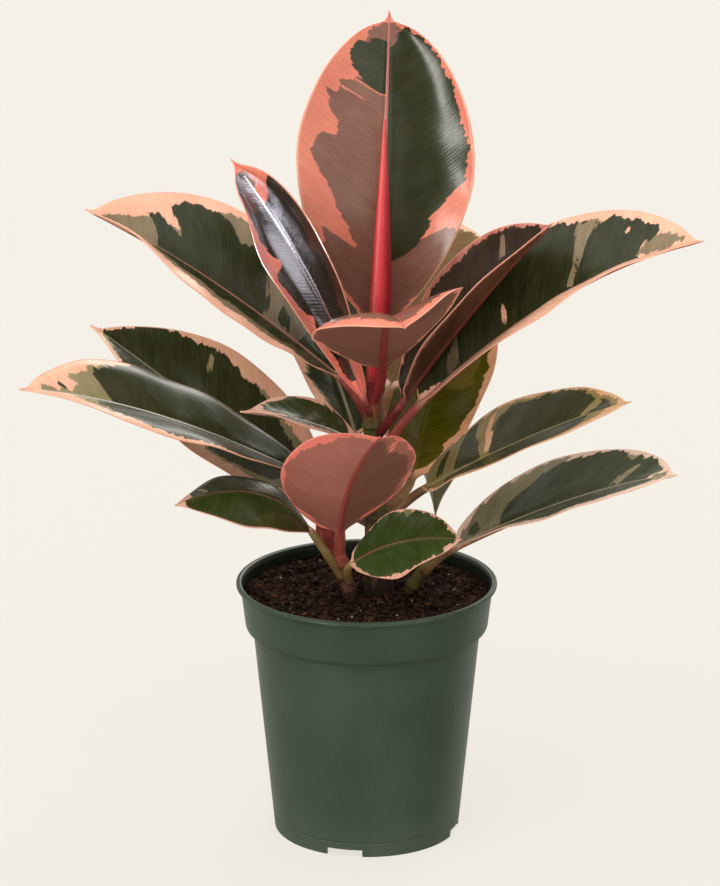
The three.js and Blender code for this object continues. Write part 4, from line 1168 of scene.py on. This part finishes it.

# Pot: injection-moulded polypropylene, dark green right through, satin from a polished mould. Its
# corners are rounded, and it shows faint upright drag lines, rubbed edges lightened further as a
# painted highlight, and a little dust. Its inner faces carry painted shade, and the lip's inner
# edge a painted highlight.
pot = {
    "footRadius": 58.8, "footBevel": 0.8, "footWidth": 2.6, "bodyRadius": 72.0, "bodyTop": 134.0,
    "markHeight": 9.6, "markDepth": 0.3, "sides": 192,
    "notches": 4, "notchWidth": 23.0, "notchHeight": 5.0, "notchTurn": 14.0,
    "drains": 6, "drainRadius": 5.0, "drainCircle": 40.0, "drainSides": 40,
    "colour": "#2D3C2B", "light": "#374736", "rubbedAndSheen": "#5E6F5C", "dust": "#5A6252",
    # inside is painted shade on the pot's inner faces, and lip is a painted highlight along the lip's inner
    # edge
    "inside": "#161F16", "lip": "#8C9A88", "lipFades": (79.1, 79.6, 80.0, 80.6), "lipAbove": 164.0,
    "insideFades": (50.0, 20.0), "dustTo": 30.0, "roughness": (0.36, 0.46), "relief": 0.03,
    "cloud": 55.6, "drag": 2.38, "dragDrawn": 0.05,
    "grain": 0.556,  # the mould's own grain is finer, and this is as coarse as it needs to show
}


def potCorners():
    # Radius, height and how far each corner is rounded: from under the floor, up the outside over
    # the mould's parting mark, the band and the lip, and down the inside
    def outer(z, inset=0.0):
        rise = (z - pot["footBevel"]) / (pot["bodyTop"] - pot["footBevel"])
        return mix(pot["footRadius"], pot["bodyRadius"], rise) - inset, z, 0.1
    mark, depth = pot["markHeight"], pot["markDepth"]
    return [
        (0, 5.5, 0), (56.2, 5.5, 0.5), (56.6, 0, 0.15), (58.0, 0, 0.3),
        (pot["footRadius"], pot["footBevel"], 0.3),
        outer(mark - 0.8), outer(mark - 0.4, depth), outer(mark + 0.2, depth), outer(mark + 0.8),
        (pot["bodyRadius"], pot["bodyTop"], 1.2),
        (76, 135.4, 0.7), (76.8, 137, 0.7), (79.7, 161.4, 0.7), (81.7, 161.8, 0.35),
        (82.5, 162.6, 0.5), (82.5, 164.2, 0.7), (81.7, 165, 0.5), (79.7, 165, 0.9), (78.2, 162.6, 0.9),
        (75.3, 137.8, 1.2), (70.5, 134, 1.5), (58.1, 8.7, 0.6), (56.5, 7.1, 0.6), (0, 7.1, 0),
    ]


def roundedProfile(corners):
    points = []
    for i, (radius, z, bend) in enumerate(corners):
        here = np.array([radius, z], float)
        if bend == 0:
            points.append(here)
            continue
        sides = []
        for other in (corners[i - 1], corners[i + 1]):
            away = np.array(other[:2]) - here
            span = np.linalg.norm(away)
            sides.append((away / span, min(bend, 0.4 * span), span))
        (back, backLength, backSpan), (on, onLength, onSpan) = sides
        if backSpan > 3.5 * backLength:
            points.append(here + back * backLength * 1.6)
        for t in np.linspace(0, 1, 5):
            points.append((1 - t) ** 2 * (here + back * backLength) + 2 * t * (1 - t) * here
                          + t * t * (here + on * onLength))
        if onSpan > 3.5 * onLength:
            points.append(here + on * onLength * 1.6)
    return points


def lathe(profile, sides):
    # The first and last points lie on the axis
    angles = np.linspace(0, 2 * math.pi, sides, endpoint=False)
    body = np.array(profile[1:-1])
    points = np.stack([body[:, None, 0] * np.cos(angles), body[:, None, 0] * np.sin(angles),
                       np.repeat(body[:, 1:], sides, 1)], -1).reshape(-1, 3)
    faces = ringFaces(len(body), sides, False)
    last = (len(body) - 1) * sides
    points = np.vstack([points, [[0, 0, profile[0][1]], [0, 0, profile[-1][1]]]])
    for j in range(sides):
        k = (j + 1) % sides
        faces.append((len(points) - 2, k, j))
        faces.append((len(points) - 1, last + j, last + k))
    return points, faces


def notchBox(turn):
    # A box across the foot ring, turned round the pot
    wide, deep, tall = pot["notchWidth"] / 2, 2 * pot["footWidth"], pot["notchHeight"]
    middle = -pot["footRadius"] + pot["footWidth"] / 2
    cos, sin = math.cos(math.radians(turn)), math.sin(math.radians(turn))
    corners = [(-wide, middle - deep), (wide, middle - deep), (wide, middle + deep), (-wide, middle + deep)]
    points = [(x * cos - y * sin, x * sin + y * cos, z) for z in (-tall, tall) for x, y in corners]
    return points, ringFaces(2, 4)


def carve(piece, cutters):
    # Takes each cutter's solid out of the piece
    points, faces = [], []
    for cutPoints, cutFaces in cutters:
        faces += [tuple(i + len(points) for i in face) for face in cutFaces]
        points += [tuple(p) for p in cutPoints]
    mesh = bpy.data.meshes.new("cutter")
    mesh.from_pydata((np.array(points) * mm).tolist(), [], faces)
    cutter = putInScene("cutter", mesh)
    change = piece.modifiers.new("carve", "BOOLEAN")
    change.operation = "DIFFERENCE"
    change.solver = "EXACT"
    change.object = cutter
    carved = bpy.data.meshes.new_from_object(piece.evaluated_get(bpy.context.evaluated_depsgraph_get()))
    piece.modifiers.clear()
    piece.data = carved
    bpy.data.objects.remove(cutter)


def potFinish():
    material, tree, skin = newFinish("moulded_polypropylene", {"IOR": 1.49})
    spot = addNode(tree, "TexCoord", out="Object")
    cloud = addNode(tree, "TexNoise", {"Vector": spot, "Scale": perMetre(pot["cloud"]), "Detail": 4.0})
    drawn = addNode(tree, "Mapping", {"Vector": spot, "Scale": (1.0, 1.0, pot["dragDrawn"])})
    drag = addNode(tree, "TexNoise", {"Vector": drawn, "Scale": perMetre(pot["drag"]), "Detail": 3.0})
    grain = addNode(tree, "TexNoise", {"Vector": spot, "Scale": perMetre(pot["grain"]), "Detail": 2.0})
    tone = addNode(tree, "Math", [drag, 0.35, cloud], operation="MULTIPLY_ADD")
    tone = addNode(tree, "MapRange", [tone, 0.45, 0.9, 0.0, 1.0])
    # Convex edges: rubbed wear, lightened further as a painted edge highlight
    rubbedAndSheen = addNode(tree, "NewGeometry", out="Pointiness")
    rubbedAndSheen = addNode(tree, "MapRange", [rubbedAndSheen, 0.52, 0.62, 0.0, 0.45])

    # The inner faces are painted dark as shade, and the lip's inner edge carries a painted pale highlight
    level = addNode(tree, "VectorMath", [spot, (1.0, 1.0, 0.0)], operation="MULTIPLY")
    facing = addNode(tree, "NewGeometry", out="Normal")
    innerWallShade = addNode(tree, "VectorMath", [level, facing], out="Value", operation="DOT_PRODUCT")
    innerWallShade = addNode(tree, "MapRange", [innerWallShade, *(-r * mm for r in pot["insideFades"]), 1.0, 0.0])
    radius = addNode(tree, "VectorMath", [level], out="Value", operation="LENGTH")
    # Painted highlight: a pale ring along the lip's inner edge, on the lip's top only
    startsAt, fullAt, fadesAt, endsAt = (r * mm for r in pot["lipFades"])
    lipEdge = addNode(tree, "MapRange", [radius, startsAt, fullAt, 0.0, 1.0])
    lipFar = addNode(tree, "MapRange", [radius, fadesAt, endsAt, 0.75, 0.0])
    lip = addNode(tree, "Math", [lipEdge, lipFar], operation="MULTIPLY")
    height = addNode(tree, "SeparateXYZ", [spot], out=2)
    top = addNode(tree, "Math", [height, pot["lipAbove"] * mm], operation="GREATER_THAN")
    lip = addNode(tree, "Math", [lip, top], operation="MULTIPLY")
    low = addNode(tree, "MapRange", [height, 0.0, pot["dustTo"] * mm, 0.5, 0.0])
    dust = addNode(tree, "Math", [cloud, low], operation="MULTIPLY")

    colour = addNode(tree, "Mix", {0: tone, 6: linear(pot["colour"]), 7: linear(pot["light"])})
    for share, shade in ((rubbedAndSheen, "rubbedAndSheen"), (innerWallShade, "inside"), (lip, "lip"), (dust, "dust")):
        colour = addNode(tree, "Mix", {0: share, 6: colour, 7: linear(pot[shade])})
    gloss = addNode(tree, "MapRange", [tone, 0.0, 1.0, *pot["roughness"]])
    gloss = addNode(tree, "Math", [dust, 0.4, gloss], operation="MULTIPLY_ADD")
    relief = addNode(tree, "Math", [drag, 1.4, grain], operation="MULTIPLY_ADD")
    dressSkin(tree, skin, colour, gloss, relief, pot["relief"], 0.6)
    return material


def mouldPot():
    points, faces = lathe(roundedProfile(potCorners()), pot["sides"])
    piece = makePiece("moulded_pot", points, faces, potFinish(), ("pot",))
    cutters = [notchBox(360 * i / pot["notches"] - pot["notchTurn"]) for i in range(pot["notches"])]
    angles = np.linspace(0, 2 * math.pi, pot["drainSides"], endpoint=False)
    for i in range(pot["drains"]):
        turn = 2 * math.pi * i / pot["drains"]
        x, y = pot["drainCircle"] * math.sin(turn), -pot["drainCircle"] * math.cos(turn)
        ring = [(x + pot["drainRadius"] * math.cos(a), y + pot["drainRadius"] * math.sin(a)) for a in angles]
        cutters.append(([(x, y, z) for z in (-2, 12) for x, y in ring], ringFaces(2, pot["drainSides"])))
    carve(piece, cutters)
    piece.data.shade_smooth()
    piece.data.set_sharp_from_angle(angle=math.radians(32))


mouldPot()
print("pot moulded")

# Soil: damp milled peat with composted bark and perlite. It is dark, matt and crumbly, with reddish
# bark slivers and chalk-white grains.
soil = {
    "level": 156.5, "heap": 2.0, "heapAt": (8, 8), "heapSpread": 30.0, "lumps": 0.9, "clods": 1.9,
    "crumbRelief": 0.55, "holeRoom": 0.3, "sides": 240, "rings": 72,
    "walls": [(0, 7.4), (55.0, 7.4), (57.6, 9.0), (70.0, 134.0), (74.8, 138.3)],
    "bandInside": [(138.3, 161.4), (74.8, 77.7)],  # heights and radii just inside the pot's band
    "strewnTo": 75.4, "keptWithin": 76.6, "stemRoom": 1.2, "shapes": 14,
    "finish": "damp_peat", "tones": ("#0D0705", "#20140E", "#452E20", "#70422A"),
    "roughness": 0.95, "relief": 0.6, "grain": 1.92,
}
strewn = {  # size across from the smallest to the largest, and sink is the part of each that is buried
    "peat_crumbs": {
        "count": 1650, "size": (1.3, 4.6), "stretch": (1.0, 0.8, 0.7), "sink": 0.2, "seed": 11,
        "finish": "peat_crumb", "tones": ("#0D0705", "#281911", "#452E20", "#70422A"),
        "roughness": 0.95, "relief": 0.6, "grain": 1.43,
    },
    "bark_slivers": {
        "count": 280, "size": (2.2, 6.5), "stretch": (1.0, 0.3, 0.2), "sink": 0.1, "seed": 12,
        "finish": "composted_bark", "tones": ("#3A2014", "#5C3622", "#7C4A30", "#946040"),
        "roughness": 0.8, "relief": 0.3, "grain": 1.92,
    },
    "perlite_grains": {
        "count": 70, "size": (0.7, 2.1), "stretch": (1.0, 0.75, 0.7), "sink": 0.1, "seed": 13,
        "finish": "perlite", "tones": ("#6E665A", "#9A9286", "#BDB6AA", "#D9D4CA"),
        "roughness": 0.9, "relief": 0.3, "grain": 1.11,
    },
}


def soilHeight(x, y):
    heapX, heapY = soil["heapAt"]
    heap = soil["heap"] * np.exp(-((x - heapX) ** 2 + (y - heapY) ** 2) / soil["heapSpread"] ** 2)
    broad = np.sin(0.21 * x + 1.3) * np.cos(0.17 * y + 0.4)
    small = 0.6 * np.sin(0.37 * x - 0.29 * y)
    return soil["level"] + heap + soil["lumps"] * (broad + small)


def soilFinish(kind):
    material, tree, skin = newFinish(kind["finish"], {"IOR": 1.35, "Specular IOR Level": 0.3})
    spot = addNode(tree, "TexCoord", out="Object")
    scale, roughness = perMetre(kind["grain"]), kind["roughness"]
    grain = addNode(tree, "TexNoise", {"Vector": spot, "Scale": scale, "Detail": 6.0, "Roughness": 0.7})
    patch = addNode(tree, "TexVoronoi", {"Vector": spot, "Scale": scale * 0.55}, out="Color")
    pick = addNode(tree, "SeparateColor", [patch])
    share = addNode(tree, "Math", [pick, 0.35, grain], operation="MULTIPLY_ADD")
    share = addNode(tree, "MapRange", [share, 0.35, 1.0, 0.0, 1.0])
    colour = addNode(tree, "ValToRGB", [share], stops=list(zip((0.0, 0.45, 0.8, 1.0), kind["tones"])))
    wet = addNode(tree, "MapRange", [grain, 0.3, 0.7, roughness - 0.15, roughness])
    dressSkin(tree, skin, colour, wet, grain, kind["relief"], 0.8)
    return material


def fillSoil():
    level = soil["level"]
    edge = float(np.interp(level, *soil["bandInside"]))
    top = [(edge * i / soil["rings"], level) for i in range(soil["rings"], -1, -1)]
    points, faces = lathe(soil["walls"] + [(edge, 155.0)] + top, soil["sides"])
    for i, (x, y, z) in enumerate(points):
        if z > level - 0.5:
            clod = noise.turbulence(Vector((x * 0.22, y * 0.22, 3.0)), 4, False) - 0.6
            crumb = noise.noise(Vector((x * 0.9, y * 0.9, 8.0)))
            fade = float(smooth(edge, edge - 4, math.hypot(x, y)))
            points[i, 2] = soilHeight(x, y) + fade * (soil["clods"] * clod + soil["crumbRelief"] * crumb)
    piece = makePiece("potting_mix_bed", points, faces, soilFinish(soil), ("soil",))
    cutters = []
    for stem in stems.values():
        rings = stemRings(stem, soil["holeRoom"], 40, 3.0, False)[0]
        cutters.append((rings.reshape(-1, 3), ringFaces(len(rings), 40)))
    carve(piece, cutters)


def lumpShape(chance):
    # One uneven lump about one unit across
    shape = bmesh.new()
    bmesh.ops.create_icosphere(shape, subdivisions=2, radius=0.5)
    shift = Vector((chance.uniform(0, 50), chance.uniform(0, 50), 0))
    for vertex in shape.verts:
        vertex.co *= 1 + 0.75 * noise.noise(vertex.co * 2.6 + shift)
    points = np.array([v.co[:] for v in shape.verts])
    faces = [tuple(v.index for v in face.verts) for face in shape.faces]
    shape.free()
    return points, faces


def scatter(name, kind):
    chance = random.Random(kind["seed"])
    shapes = [lumpShape(chance) for _ in range(soil["shapes"])]
    posts = [(*stem["path"][1][:2], stem["radii"][1] + soil["stemRoom"]) for stem in stems.values()]
    stretch, (smallest, largest) = kind["stretch"], kind["size"]
    points, faces, total, placed = [], [], 0, 0
    while placed < kind["count"]:
        away = soil["strewnTo"] * math.sqrt(chance.random())
        turn = chance.uniform(0, 2 * math.pi)
        x, y = away * math.cos(turn), away * math.sin(turn)
        wide = smallest * (largest / smallest) ** (chance.random() ** 2.2)
        inStem = any(math.hypot(x - px, y - py) < r + wide / 2 for px, py, r in posts)
        if away + wide / 2 > soil["keptWithin"] or inStem:
            continue
        shape, shapeFaces = shapes[chance.randrange(len(shapes))]
        tilt = (chance.uniform(-0.5, 0.5), chance.uniform(-0.5, 0.5), chance.uniform(0, 6.3))
        lump = shape * wide * np.array(stretch) @ np.array(Euler(tilt).to_matrix()).T
        raised = wide * stretch[2] * (0.5 - kind["sink"]) + chance.uniform(-0.2, 0.5)
        points.append(lump + (x, y, float(soilHeight(x, y)) + raised))
        faces += [tuple(i + total for i in face) for face in shapeFaces]
        total += len(lump)
        placed += 1
    makePiece(name, np.vstack(points), faces, soilFinish(kind), ("soil",))


fillSoil()
for name, kind in strewn.items():
    scatter(name, kind)
print("soil filled")
